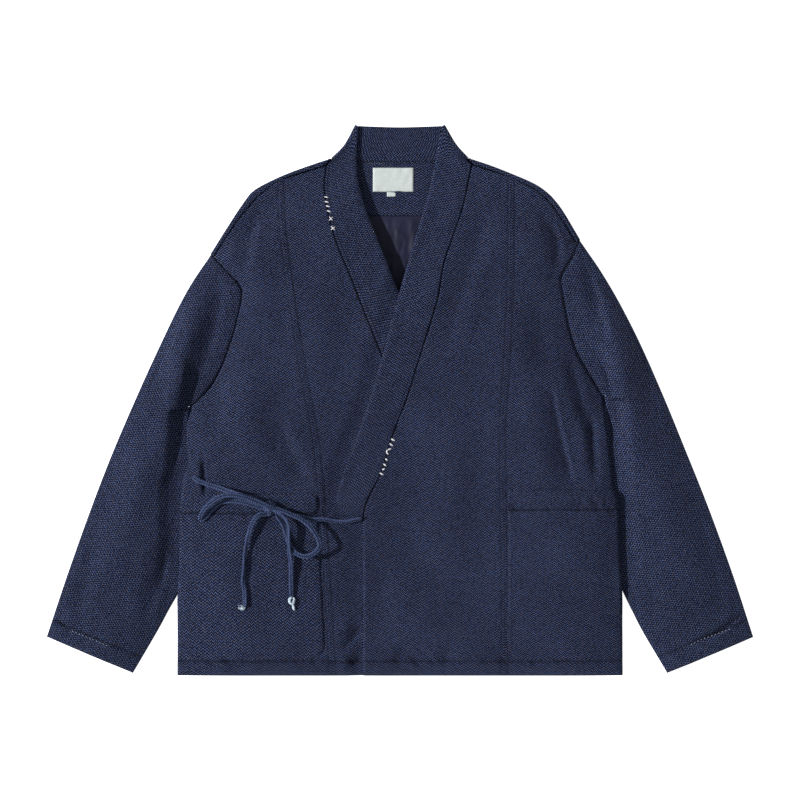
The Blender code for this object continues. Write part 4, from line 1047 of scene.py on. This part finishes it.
def tube_mesh(name, path, across, thick, finish, twist=0.0, lip=0.0, seed=7):
    """Make a cord as a tube along a path. lip is the depth of the groove in a folded tie."""
    ring = 20
    angles = np.linspace(0, math.tau, ring + 1)
    tangent = np.gradient(path, axis=0)
    tangent /= np.linalg.norm(tangent, axis=1)[:, None]
    sideways = np.cross(tangent, (0.0, 0.0, 1.0))
    sideways /= np.maximum(np.linalg.norm(sideways, axis=1), 1e-6)[:, None]
    upright = np.cross(sideways, tangent)
    gone = np.concatenate(([0.0], np.cumsum(np.linalg.norm(np.diff(path, axis=0), axis=1))))
    roll = twist * waviness(gone, 0 * gone, 90, seed)
    taper = np.ones(len(path))
    taper[[0, -1]] = 0.45
    taper[[1, -2]] = 0.85
    places, weave = [], []
    # Painted shade along the groove on top of a folded tie
    shade = np.tile(0.95 * bell(angles - math.pi / 2, 0.34) * min(1.0, 3 * lip), (len(path), 1))
    for k, point in enumerate(path):
        dent = bell(angles - math.pi / 2, 0.4)
        groove = 1 - lip * (dent + 0.5 * bell(angles - 1.5 * math.pi, 0.4))
        rough = 1 + 0.05 * waviness(np.full(ring + 1, gone[k]), 0 * angles, 6, seed + 1)
        wide = across * np.cos(angles) * groove * rough * taper[k]
        high = thick * np.sin(angles) * groove * rough * taper[k]
        turned_x = wide * math.cos(roll[k]) - high * math.sin(roll[k])
        turned_z = wide * math.sin(roll[k]) + high * math.cos(roll[k])
        places.append(point + turned_x[:, None] * sideways[k] + turned_z[:, None] * upright[k])
        weave.append(np.column_stack((angles / math.tau * 16, np.full(ring + 1, gone[k]))))
    places = np.array(places)
    made = cloth_mesh(name, places, np.array(weave), shade, 0, finish, closed=True)
    bm = bmesh.new()
    bm.from_mesh(made.data)
    bmesh.ops.holes_fill(bm, edges=[edge for edge in bm.edges if edge.is_boundary], sides=0)
    bmesh.ops.recalc_face_normals(bm, faces=bm.faces)
    bm.to_mesh(made.data)
    bm.free()
    return made


def thread_unit():
    """Make one short thread, a millimetre across and one long, to be set many times."""
    unit = bpy.data.meshes.new("thread_unit")
    bm = bmesh.new()
    bmesh.ops.create_uvsphere(bm, u_segments=6, v_segments=4, radius=0.5)
    bm.to_mesh(unit)
    bm.free()
    return unit


def threads(name, stitches, finish):
    """Set many short threads in one mesh: each is (start, end, width, lift) in millimetres."""
    unit = thread_unit()
    rest = np.empty(len(unit.vertices) * 3)
    unit.vertices.foreach_get("co", rest)
    bm = bmesh.new()
    for start, end, width, height in stitches:
        start, end = Vector(start), Vector(end)
        way = end - start
        turn = way.to_track_quat("X", "Z").to_matrix().to_4x4()
        size = Matrix.Diagonal((way.length, width, height, 1.0))
        place = Matrix.Translation((start + end) / 2)
        unit.vertices.foreach_set("co", rest)
        unit.transform(Matrix.Scale(MM, 4) @ place @ turn @ size)
        bm.from_mesh(unit)
    made_mesh = bpy.data.meshes.new(name)
    bm.to_mesh(made_mesh)
    bm.free()
    bpy.data.meshes.remove(unit)
    made_mesh.shade_smooth()
    made_mesh.materials.append(finish)
    made = bpy.data.objects.new(name, made_mesh)
    bpy.context.scene.collection.objects.link(made)
    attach(made, "root")
    return made


def surface_of(*names):
    """A function that gives the height of the uppermost of some pieces at one plan point."""
    trees = []
    for name in names:
        bm = bmesh.new()
        bm.from_mesh(bpy.data.objects[name].data)
        trees.append(BVHTree.FromBMesh(bm))
        bm.free()

    def height(x, y):
        hits = [tree.ray_cast(Vector((x * MM, y * MM, 1.0)), Vector((0, 0, -1)))[0] for tree in trees]
        return max((hit.z / MM for hit in hits if hit), default=0.0)

    return height


def stitch_row(line, height, length=2.6, gap=1.2, width=0.7, proud=0.1):
    """Stitches along a line of plan points, on the surface whose height a function gives."""
    line = np.array(line, float)
    gone = np.concatenate(([0.0], np.cumsum(np.hypot(*np.diff(line, axis=0).T))))
    stitches = []
    for start in np.arange(0.5, gone[-1] - length, length + gap):
        ends = [[float(np.interp(at, gone, line[:, k])) for k in (0, 1)]
                for at in (start, start + length)]
        stitches.append((*((*end, height(*end) + proud) for end in ends), width, 0.8 * width))
    return stitches


def marks(chart, height, proud):
    """Single stitches from a chart of middles, lengths, slants in degrees and widths."""
    stitches = []
    for x, y, length, slant, width in zip(*chart.values()):
        way = np.array((math.cos(math.radians(slant)), math.sin(math.radians(slant)))) * length / 2
        ends = [np.array((x, y)) - way, np.array((x, y)) + way]
        level = max(height(*spot) for spot in (*ends, (x, y)))
        stitches.append((*((*end, level + proud) for end in ends), width, 0.8 * width))
    return stitches



class Nodes:
    """Short calls to add and join the nodes of one material."""

    def __init__(self, name):
        self.material = bpy.data.materials.new(name)
        self.material.use_nodes = True
        self.tree = self.material.node_tree
        self.shader = self.tree.nodes["Principled BSDF"]

    def add(self, kind, **settings):
        """Add a node. A setting whose name is a socket's is given or joined to it."""
        node = self.tree.nodes.new(kind)
        for key, value in settings.items():
            setattr(node, key, value)
        return node

    def join(self, source, target):
        """Join a value, or a socket, to a socket."""
        if isinstance(source, bpy.types.NodeSocket):
            self.tree.links.new(source, target)
        else:
            target.default_value = source

    def maths(self, operation, *values, clamp=False):
        """Add a sum on numbers."""
        node = self.add("ShaderNodeMath", operation=operation, use_clamp=clamp)
        for value, socket in zip(values, node.inputs):
            self.join(value, socket)
        return node.outputs[0]

    def blend(self, factor, first, second, kind="MIX"):
        """Mix two colours."""
        node = self.add("ShaderNodeMix", data_type="RGBA", blend_type=kind)
        for value, socket in ((factor, node.inputs[0]), (first, node.inputs[6]),
                              (second, node.inputs[7])):
            self.join((*value, 1.0) if isinstance(value, tuple) else value, socket)
        return node.outputs[2]

    def range(self, value, low, high, to_low=0.0, to_high=1.0, smooth=False):
        """Map a range of numbers to another."""
        node = self.add("ShaderNodeMapRange")
        node.interpolation_type = "SMOOTHSTEP" if smooth else "LINEAR"
        for given, socket in zip((value, low, high, to_low, to_high), node.inputs):
            self.join(given, socket)
        return node.outputs[0]

    def noise(self, vector, scale, detail=2.0, roughness=0.5):
        """Add a noise pattern."""
        node = self.add("ShaderNodeTexNoise")
        self.join(vector, node.inputs["Vector"])
        for name, value in (("Scale", scale), ("Detail", detail), ("Roughness", roughness)):
            node.inputs[name].default_value = value
        return node.outputs[0]

    def finish(self, colour, height, depth, roughness, sheen=0.0, specular=0.3):
        """Join the colour and the relief to the shader."""
        self.join(colour, self.shader.inputs["Base Color"])
        if height is not None:
            bump = self.add("ShaderNodeBump")
            bump.inputs["Strength"].default_value = 1.0
            bump.inputs["Distance"].default_value = depth
            self.join(height, bump.inputs["Height"])
            self.join(bump.outputs[0], self.shader.inputs["Normal"])
        self.shader.inputs["Roughness"].default_value = roughness
        self.shader.inputs["Specular IOR Level"].default_value = specular
        self.shader.inputs["Sheen Weight"].default_value = sheen
        self.shader.inputs["Sheen Roughness"].default_value = 0.5
        return self.material


def weave_cloth(name, looks):
    """Padded dobby cloth: fine rows of zigzag floats, lighter than the ground."""
    made = Nodes(name)
    flat = made.add("ShaderNodeUVMap", uv_map="weave").outputs[0]
    parts = made.add("ShaderNodeSeparateXYZ")
    made.join(flat, parts.inputs[0])
    wobble = made.noise(flat, 90.0, 1.0)
    half = looks.zigzag_width / 2
    zig = made.maths("PINGPONG", parts.outputs[0], half)
    lean = made.maths("MULTIPLY_ADD", zig, looks.zigzag_height / half, parts.outputs[1])
    lean = made.maths("MULTIPLY_ADD", wobble, 0.0016, lean)
    wave = made.maths("SINE", made.maths("MULTIPLY", lean, math.tau / looks.row_height))
    speck = made.noise(flat, 640.0, 2.0, 0.6)
    thread = made.range(wave, 0.05, 0.95, smooth=True)
    bright = made.range(speck, 0.36, 0.68, 0.05, 1.5)
    share = made.maths("MULTIPLY", thread, bright)
    tint = made.range(made.noise(flat, 330.0, 1.0), 0.5, 0.62)
    light = made.blend(tint, tuple(looks.light_thread), tuple(looks.brown_thread))
    colour = made.blend(share, tuple(looks.ground), light)
    cloud = made.range(made.noise(flat, 11.0, 3.0), 0.3, 0.7, 0.88, 1.12)
    # Painted shade: the shade attribute darkens the colour in seams, grooves, hems and fold bottoms
    shade = made.add("ShaderNodeAttribute", attribute_name="shade").outputs["Fac"]
    level = made.maths("MULTIPLY", cloud, made.range(shade, 0.0, 1.0, 1.0, 0.10))
    scale = made.add("ShaderNodeVectorMath", operation="SCALE")
    made.join(colour, scale.inputs[0])
    made.join(level, scale.inputs["Scale"])
    height = made.maths("MULTIPLY_ADD", thread, 0.8, made.maths("MULTIPLY", speck, 0.5))
    return made.finish(scale.outputs[0], height, 0.0006, 0.9, sheen=0.02, specular=0.07)


def satin_lining(name, looks):
    """Smooth satin with a soft gloss and fine upright threads."""
    made = Nodes(name)
    flat = made.add("ShaderNodeUVMap", uv_map="weave").outputs[0]
    stretch = made.add("ShaderNodeMapping")
    made.join(flat, stretch.inputs["Vector"])
    stretch.inputs["Scale"].default_value = (1.0, 0.12, 1.0)
    threads_seen = made.noise(stretch.outputs[0], 2200.0, 1.0)
    cloud = made.noise(flat, 40.0, 2.0)
    colour = made.blend(made.range(cloud, 0.3, 0.7), tuple(looks.lining),
                        tuple(value * 1.5 for value in looks.lining))
    return made.finish(colour, threads_seen, 0.00006, 0.6, specular=0.22)


def label_weave(name, looks):
    """Blank label, woven so finely that only its ribs show."""
    made = Nodes(name)
    flat = made.add("ShaderNodeUVMap", uv_map="weave").outputs[0]
    parts = made.add("ShaderNodeSeparateXYZ")
    made.join(flat, parts.inputs[0])
    rib = made.maths("SINE", made.maths("MULTIPLY", parts.outputs[1], math.tau / 0.0006))
    cloud = made.noise(flat, 120.0, 2.0)
    soft = made.range(cloud, 0.3, 0.7)
    colour = made.blend(soft, tuple(value * 0.93 for value in looks.label), tuple(looks.label))
    return made.finish(colour, rib, 0.00006, 0.7, sheen=0.1)


def tie_cloth(name, looks):
    """Folded cloth tie: dark, with paler threads that run slantwise along it."""
    made = Nodes(name)
    flat = made.add("ShaderNodeUVMap", uv_map="weave").outputs[0]
    parts = made.add("ShaderNodeSeparateXYZ")
    made.join(flat, parts.inputs[0])
    slant = made.maths("MULTIPLY_ADD", parts.outputs[0], 0.8, parts.outputs[1])
    wave = made.maths("SINE", made.maths("MULTIPLY", slant, math.tau / 0.0026))
    speck = made.noise(flat, 520.0, 2.0, 0.6)
    share = made.maths("MULTIPLY", made.range(wave, -0.5, 0.8, smooth=True),
                       made.range(speck, 0.3, 0.65, 0.2, 1.3), clamp=True)
    colour = made.blend(share, tuple(looks.ground), tuple(value * 1.3 for value in looks.light_thread))
    # Painted shade: the shade attribute darkens the colour along the tie's groove
    shade = made.add("ShaderNodeAttribute", attribute_name="shade").outputs["Fac"]
    scale = made.add("ShaderNodeVectorMath", operation="SCALE")
    made.join(colour, scale.inputs[0])
    made.join(made.range(shade, 0.0, 1.0, 1.0, 0.15), scale.inputs["Scale"])
    height = made.maths("MULTIPLY_ADD", wave, 0.4, speck)
    return made.finish(scale.outputs[0], height, 0.0005, 0.9, sheen=0.03, specular=0.08)


def frayed_cotton(name, looks):
    """Frayed end of a tie, where the white cores of its dyed yarns show."""
    made = Nodes(name)
    place = made.add("ShaderNodeTexCoord").outputs["Object"]
    core = made.range(made.noise(place, 620.0, 2.0), 0.38, 0.56)
    colour = made.blend(core, tuple(value * 0.22 for value in looks.fray), tuple(looks.fray))
    return made.finish(colour, made.noise(place, 1500.0, 1.0), 0.0003, 0.9, specular=0.1)


def plain_thread(name, colour, roughness=0.75):
    """Sewing thread, with a faint change along it."""
    made = Nodes(name)
    place = made.add("ShaderNodeTexCoord").outputs["Object"]
    cloud = made.range(made.noise(place, 700.0, 1.0), 0.3, 0.7)
    shade = made.blend(cloud, tuple(value * 0.8 for value in colour), tuple(colour))
    return made.finish(shade, None, 0, roughness, specular=0.3)


def pale_floor(name, stage):
    """Plain pale floor that is lit from within, as a light table is."""
    made = Nodes(name)
    made.join((*stage.floor, 1.0), made.shader.inputs["Base Color"])
    made.join((1.0, 1.0, 1.0, 1.0), made.shader.inputs["Emission Color"])
    made.shader.inputs["Emission Strength"].default_value = stage.floor_glow
    made.shader.inputs["Roughness"].default_value = 0.9
    return made.material


def colour_of(name, default, description):
    """A colour that a user would change."""
    return bpy.props.FloatVectorProperty(name=name, description=description, default=default,
                                         size=3, min=0.0, max=1.0, subtype="COLOR")


class JacketLooks(bpy.types.PropertyGroup):
    """Sizes and colours of the cloth."""

    ground: colour_of("Ground", (0.0026, 0.0042, 0.0150), "Dark indigo ground of the cloth")
    light_thread: colour_of("Light thread", (0.098, 0.138, 0.290), "Blue-grey floats of the weave")
    brown_thread: colour_of("Brown thread", (0.135, 0.130, 0.185), "Brownish grey floats of the weave")
    lining: colour_of("Lining", (0.0095, 0.0100, 0.0270), "Satin lining")
    label: colour_of("Label", (0.60, 0.66, 0.64), "Blank woven label")
    seam_thread: colour_of("Seam thread", (0.006, 0.008, 0.018), "Dark topstitching")
    hand_thread: colour_of("Hand thread", (0.80, 0.80, 0.82), "White hand stitches on the band")
    cuff_thread: colour_of("Cuff thread", (0.22, 0.24, 0.30), "Pale pick stitches of the cuffs")
    fray: colour_of("Fray", (0.62, 0.74, 0.85), "Frayed tips of the ties")
    zigzag_width: bpy.props.FloatProperty(
        name="Zigzag width", description="Width of one V of the weave", default=0.0056,
        min=0.001, unit="LENGTH")
    zigzag_height: bpy.props.FloatProperty(
        name="Zigzag height", description="Height of one V of the weave", default=0.0032,
        min=0.0005, unit="LENGTH")
    row_height: bpy.props.FloatProperty(
        name="Row height", description="Distance from one row of floats to the next",
        default=0.0034, min=0.0005, unit="LENGTH")


class JacketStage(bpy.types.PropertyGroup):
    """Floor, lights and camera."""

    floor: colour_of("Floor", (0.9, 0.9, 0.9), "Pale floor")
    floor_glow: bpy.props.FloatProperty(name="Floor glow", description="Light from the floor itself",
                                        default=0.95, min=0.0)
    key: bpy.props.FloatProperty(name="Key light", description="Strength of the low key light",
                                 default=4.1, min=0.0)
    key_elevation: bpy.props.FloatProperty(
        name="Key elevation", description="Height of the key light over the floor",
        default=math.radians(38), subtype="ANGLE", unit="ROTATION")
    fill: bpy.props.FloatProperty(name="Fill light", description="Strength of the soft light all round",
                                  default=0.38, min=0.0)
    camera_height: bpy.props.FloatProperty(
        name="Camera height", description="Height of the camera over the jacket",
        default=4.0, min=1.0, unit="LENGTH")
    view_width: bpy.props.FloatProperty(
        name="View width", description="Width of the floor that the picture takes in",
        default=1.064, min=0.5, unit="LENGTH")


def looks():
    """The cloth's settings."""
    return bpy.context.scene.jacket_looks


def finish_of(name, make, *values):
    """A material by name, made on first use."""
    return bpy.data.materials.get(name) or make(name, *values)


def cloth():
    """The padded cloth's material."""
    return finish_of("indigo_dobby", weave_cloth, looks())


def dress(piece, nodes):
    """Let a piece stand for its nodes."""
    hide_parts(*nodes)
    return piece


class JACKET_OT_back(bpy.types.Operator):
    """Make the back with its turned shoulders"""

    bl_idname = "jacket.back"
    bl_label = "Back"

    def execute(self, context):
        pieces = back_sheet("cloth_back", cloth())
        dress(pieces[0], ["back"])
        return {"FINISHED"}


class JACKET_OT_fronts(bpy.types.Operator):
    """Make the two pieces of each front"""

    bl_idname = "jacket.fronts"
    bl_label = "Fronts"

    def execute(self, context):
        for side in SIDES:
            word = WORD[side]
            for kind, first, last, kinds, turn in (
                    ("side_front", side_point, princess_point, ("edge", "topstitched"), -1.5),
                    ("centre_front", princess_point, band_seam_point, ("topstitched", "band"), 1.0)):
                node = f"{kind}_{word}"
                piece = front_sheet(side, f"cloth_{node}", first, last, kinds, cloth(),
                                    turn * side, 70 + side + 4 * (kind == "side_front"))
                dress(piece, [node])
        return {"FINISHED"}


class JACKET_OT_sleeves(bpy.types.Operator):
    """Make both sleeves"""

    bl_idname = "jacket.sleeves"
    bl_label = "Sleeves"

    def execute(self, context):
        for side in SIDES:
            node = f"sleeve_{WORD[side]}"
            piece = sleeve_sheet(side, f"cloth_{node}", cloth())
            dress(piece, [node])
        return {"FINISHED"}


class JACKET_OT_collar(bpy.types.Operator):
    """Make the collar band, with the facing, lining and label inside the neck"""

    bl_idname = "jacket.collar"
    bl_label = "Collar band"

    def execute(self, context):
        band = dress(collar_sheet("cloth_collar_band", cloth()), ["collar_band"])
        facing = dress(facing_sheet("cloth_neck_facing", cloth()), ["neck_facing"])
        satin = finish_of("satin_lining", satin_lining, looks())
        lining = dress(lining_sheet("satin_back_lining", satin), ["back_lining"])
        woven = finish_of("label_weave", label_weave, looks())
        for name, size, seed in (("neck_label", LABEL, 81), ("size_tab", TAB, 82)):
            label = dress(label_sheet(f"woven_{name}", size, woven, seed), [name])
        return {"FINISHED"}


class JACKET_OT_pockets(bpy.types.Operator):
    """Make both patch pockets"""

    bl_idname = "jacket.pockets"
    bl_label = "Pockets"

    def execute(self, context):
        for side in SIDES:
            node = f"pocket_{WORD[side]}"
            piece = dress(pocket_sheet(side, f"cloth_{node}", cloth()), [node])
        return {"FINISHED"}


# Hand stitches of thick white thread along the band's seam, and pale pick stitches that
# close the cuffs and the back of the collar
HAND_MARKS = table(
    "x y length slant width",
    (-97.5, 268.9, 6.2, -14, 1.9), (-97.0, 262.5, 6.4, -16, 1.9), (-95.4, 256.6, 6.2, -12, 1.9),
    (-94.2, 249.9, 6.4, -18, 1.9), (-91.4, 240.1, 8.4, 42, 1.5), (-91.4, 240.1, 8.0, -48, 1.5),
    (-88.6, 227.3, 8.2, 38, 1.5), (-88.6, 227.3, 8.4, -44, 1.5), (-9.2, -52.7, 6.4, -29, 2.4),
    (-11.5, -59.1, 6.4, -37, 2.3), (-13.9, -65.0, 5.6, 19, 2.2), (-17.4, -67.6, 4.6, 66, 2.2),
    (-16.6, -70.6, 4.6, -52, 2.2), (-17.9, -78.7, 4.4, -43, 2.5), (-20.1, -85.7, 5.4, -41, 2.3),
    (-21.8, -91.5, 4.4, 28, 2.3), (-24.3, -97.7, 6.2, -30, 2.3))
CUFF_LINES = {
    LEFT: ((-460.8, -291.3), (-435.6, -305.9), (-384.8, -326.8), (-349.8, -341.3)),
    RIGHT: ((460.2, -292.6), (438.9, -303.2), (396.3, -319.2), (372.4, -331.2), (351.1, -339.2)),
}
PALE_FROM = {LEFT: 386.0, RIGHT: 384.0}
PALE_TO = {LEFT: 437.0, RIGHT: 441.0}
COLLAR_STITCHES = ((-45.0, 314.6), (-20.0, 314.2))


class JACKET_OT_stitching(bpy.types.Operator):
    """Sew the dark topstitching, the white hand stitches and the cuffs' pick stitches"""

    bl_idname = "jacket.stitching"
    bl_label = "Stitching"

    def execute(self, context):
        dark, pale = [], []
        for side in SIDES:
            word = WORD[side]
            fronts = surface_of(f"cloth_side_front_{word}", f"cloth_centre_front_{word}",
                                f"cloth_pocket_{word}")
            levels = np.linspace(HEM_STITCH_Y + 8, PRINCESS[side]["y"][-1] - 7, 160)
            for out in (-STITCH_OUT, STITCH_OUT):
                line = np.column_stack((side * read(PRINCESS[side], "out", levels) + out, levels))
                dark += stitch_row(line, fronts)
            size = POCKET[side]
            mouth = size["top"] - POCKET_HEM
            ends = np.linspace(size["top_out"] + 4, float(abs(body_edge(side, mouth))) - 3, 30)
            dark += stitch_row(np.column_stack((side * ends, 0 * ends + mouth)), fronts)
            first, last = {LEFT: (-290, -50), RIGHT: (-46, 292)}[side]
            dark += stitch_row(((first, HEM_STITCH_Y), (last, HEM_STITCH_Y)), fronts)
            armhole = [Vector(side_point(side, "armhole", k / 30)) for k in range(2, 30)]
            inward = [point + Vector((-side * STITCH_OUT, 0.0)) for point in armhole]
            dark += stitch_row(inward, fronts)
            sleeve = surface_of(f"cloth_sleeve_{word}")
            for stitch in stitch_row(CUFF_LINES[side], sleeve, length=2.4, gap=2.5, width=1.5,
                                     proud=0.2):
                out = abs(stitch[0][0])
                (pale if PALE_FROM[side] < out < PALE_TO[side] else dark).append(stitch)
        inside = surface_of("cloth_neck_facing")
        pale += stitch_row(COLLAR_STITCHES, inside, length=1.3, gap=2.0, width=0.9)
        cloth_top = surface_of("cloth_collar_band", "cloth_centre_front_left",
                               "cloth_centre_front_right")
        for name, rows, colour in (
                ("topstitching", dark, looks().seam_thread),
                ("pick_stitches", pale, looks().cuff_thread),
                ("hand_stitches", marks(HAND_MARKS, cloth_top, 0.35), looks().hand_thread)):
            made = threads(name, rows, finish_of(name, plain_thread, tuple(colour)))
        return {"FINISHED"}


TIE_WIDTH = 6.4
TIE_THICK = 3.8


def knot_pieces(finish):
    """Make the bow's knot: a padded core with two turns of the tie pulled round it."""
    x, y = KNOT["x"], KNOT["y"]
    level = rest_height(x, y) + KNOT["half_height"]
    along = np.linspace(-1, 1, 14)
    core = np.column_stack((x + along * KNOT["half_length"], y - 3.2 * along + 1.2 * along ** 2,
                            level - 0.6 * along ** 2))
    pieces = [tube_mesh("knot_core", core, 5.4, 4.4, finish, lip=0.2, seed=91)]
    for number, (out, lean, wide, high) in enumerate(((-5.2, 2.4, 7.6, 6.0), (0.6, -1.6, 6.6, 5.4))):
        turns = np.radians(np.linspace(-100, 262, 40))
        path = np.column_stack((x + out + lean * np.sin(turns), y + 1.2 + wide * np.cos(turns),
                                level + high * np.sin(turns) * 0.92))
        pieces.append(tube_mesh(f"knot_turn_{number + 1}", path, 2.7, 1.5, finish, lip=0.35,
                                seed=93 + number))
    return pieces


def frayed_tip(end, finish):
    """Fan the loose yarns of a tie's cut end out to the left."""
    chance = np.random.default_rng(5)
    stitches = []
    for _ in range(26):
        turn = math.radians(chance.uniform(165, 262))
        long = chance.uniform(4.0, 10.5)
        start = end + np.array((chance.uniform(-1.8, 1.8), chance.uniform(-0.5, 2.5), 0.0))
        stop = start + np.array((long * math.cos(turn), 0.62 * long * math.sin(turn), -1.2))
        stitches.append((tuple(start), tuple(stop), chance.uniform(0.5, 0.95), 0.6))
    return [threads("frayed_tip", stitches, finish)]


def knotted_tip(end, finish):
    """Tie the other end in a small open loop with a frayed tail."""
    turns = np.linspace(math.radians(75), math.radians(75 + 360), 26)
    loop = np.column_stack((end[0] + 0.2 + 3.0 * np.cos(turns), end[1] + 3.4 + 4.0 * np.sin(turns),
                            end[2] + 0.8 + 0.9 * np.sin(turns / 2)))
    tail = np.array([(end[0] + 1.0 + 0.28 * k, end[1] - 0.6 - 1.05 * k, end[2] - 0.08 * k)
                     for k in range(10)])
    return [tube_mesh("tip_loop", loop, 1.9, 1.7, finish, seed=97),
            tube_mesh("tip_tail", tail, 1.7, 1.2, finish, seed=98)]


class JACKET_OT_ties(bpy.types.Operator):
    """Make both ties and the knot of their bow"""

    bl_idname = "jacket.ties"
    bl_label = "Ties"

    def execute(self, context):
        finish = finish_of("folded_tie", tie_cloth, looks())
        frayed = finish_of("frayed_cotton", frayed_cotton, looks())
        knot = knot_pieces(finish)
        dress(knot[0], ["bow_knot"])
        for name, parts in (("tie_side", ("tie_side_run", "bow_loop_left", "bow_end_left")),
                            ("tie_front", ("tie_front_run", "bow_loop_right", "bow_end_right"))):
            rows = [row for part in parts for row in zip(*ROUTES[part].values())]
            path = smooth_path(rows, 2.2)
            piece = tube_mesh(name, path, TIE_WIDTH / 2, TIE_THICK / 2, finish, twist=0.5, lip=0.42,
                              seed=len(name))
            dress(piece, parts)
            (frayed_tip if name == "tie_side" else knotted_tip)(path[-1], frayed)
        return {"FINISHED"}


class JACKET_OT_stage(bpy.types.Operator):
    """Set the floor, the lights and the camera"""

    bl_idname = "jacket.stage"
    bl_label = "Stage"

    def execute(self, context):
        stage = context.scene.jacket_stage
        bm = bmesh.new()
        bmesh.ops.create_grid(bm, x_segments=2, y_segments=2, size=6.0)
        bmesh.ops.translate(bm, vec=(0, 0, -0.0005), verts=bm.verts)
        mesh = bpy.data.meshes.new("floor")
        bm.to_mesh(mesh)
        bm.free()
        mesh.materials.append(pale_floor("pale_floor", stage))
        floor = bpy.data.objects.new("floor", mesh)
        context.scene.collection.objects.link(floor)
        sun = bpy.data.lights.new("key", "SUN")
        sun.energy = stage.key
        sun.angle = math.radians(3)
        key = bpy.data.objects.new("key", sun)
        way = Vector((math.cos(stage.key_elevation), -0.06, -math.sin(stage.key_elevation)))
        key.rotation_euler = way.to_track_quat("-Z", "Y").to_euler()
        key.location = (-2, 0, 1.2)
        context.scene.collection.objects.link(key)
        world = bpy.data.worlds.new("soft_fill")
        context.scene.world = world
        world.use_nodes = True
        background = world.node_tree.nodes["Background"]
        background.inputs["Color"].default_value = (1.0, 1.0, 1.0, 1.0)
        background.inputs["Strength"].default_value = stage.fill
        lens = bpy.data.cameras.new("camera")
        lens.sensor_width = 36.0
        lens.lens = 36.0 * stage.camera_height / stage.view_width
        camera = bpy.data.objects.new("camera", lens)
        camera.location = (0.0, 0.0, stage.camera_height)
        context.scene.collection.objects.link(camera)
        context.scene.camera = camera
        context.scene.view_settings.view_transform = "Standard"
        return {"FINISHED"}


PIECES = ("back", "fronts", "sleeves", "collar", "pockets", "stitching", "ties", "stage")
OPERATORS = (JACKET_OT_back, JACKET_OT_fronts, JACKET_OT_sleeves, JACKET_OT_collar,
             JACKET_OT_pockets, JACKET_OT_stitching, JACKET_OT_ties, JACKET_OT_stage)


class JACKET_PT_panel(bpy.types.Panel):
    """Lists the jacket's pieces and settings"""

    bl_label = "Jacket"
    bl_idname = "JACKET_PT_panel"
    bl_space_type = "VIEW_3D"
    bl_region_type = "UI"
    bl_category = "Jacket"

    def draw(self, context):
        for kind in OPERATORS:
            self.layout.operator(kind.bl_idname)
        for group in (context.scene.jacket_looks, context.scene.jacket_stage):
            for key in group.bl_rna.properties.keys():
                if key not in ("rna_type", "name"):
                    self.layout.prop(group, key)


CLASSES = (JacketLooks, JacketStage, *OPERATORS, JACKET_PT_panel)


def register():
    """Register the classes and the scene's settings."""
    for kind in CLASSES:
        bpy.utils.register_class(kind)
    bpy.types.Scene.jacket_looks = bpy.props.PointerProperty(type=JacketLooks)
    bpy.types.Scene.jacket_stage = bpy.props.PointerProperty(type=JacketStage)


def unregister():
    """Remove the scene's settings and the classes."""
    del bpy.types.Scene.jacket_stage
    del bpy.types.Scene.jacket_looks
    for kind in reversed(CLASSES):
        bpy.utils.unregister_class(kind)


def main():
    """Make every piece."""
    register()
    for name in PIECES:
        getattr(bpy.ops.jacket, name)()


if __name__ == "__main__":
    main()
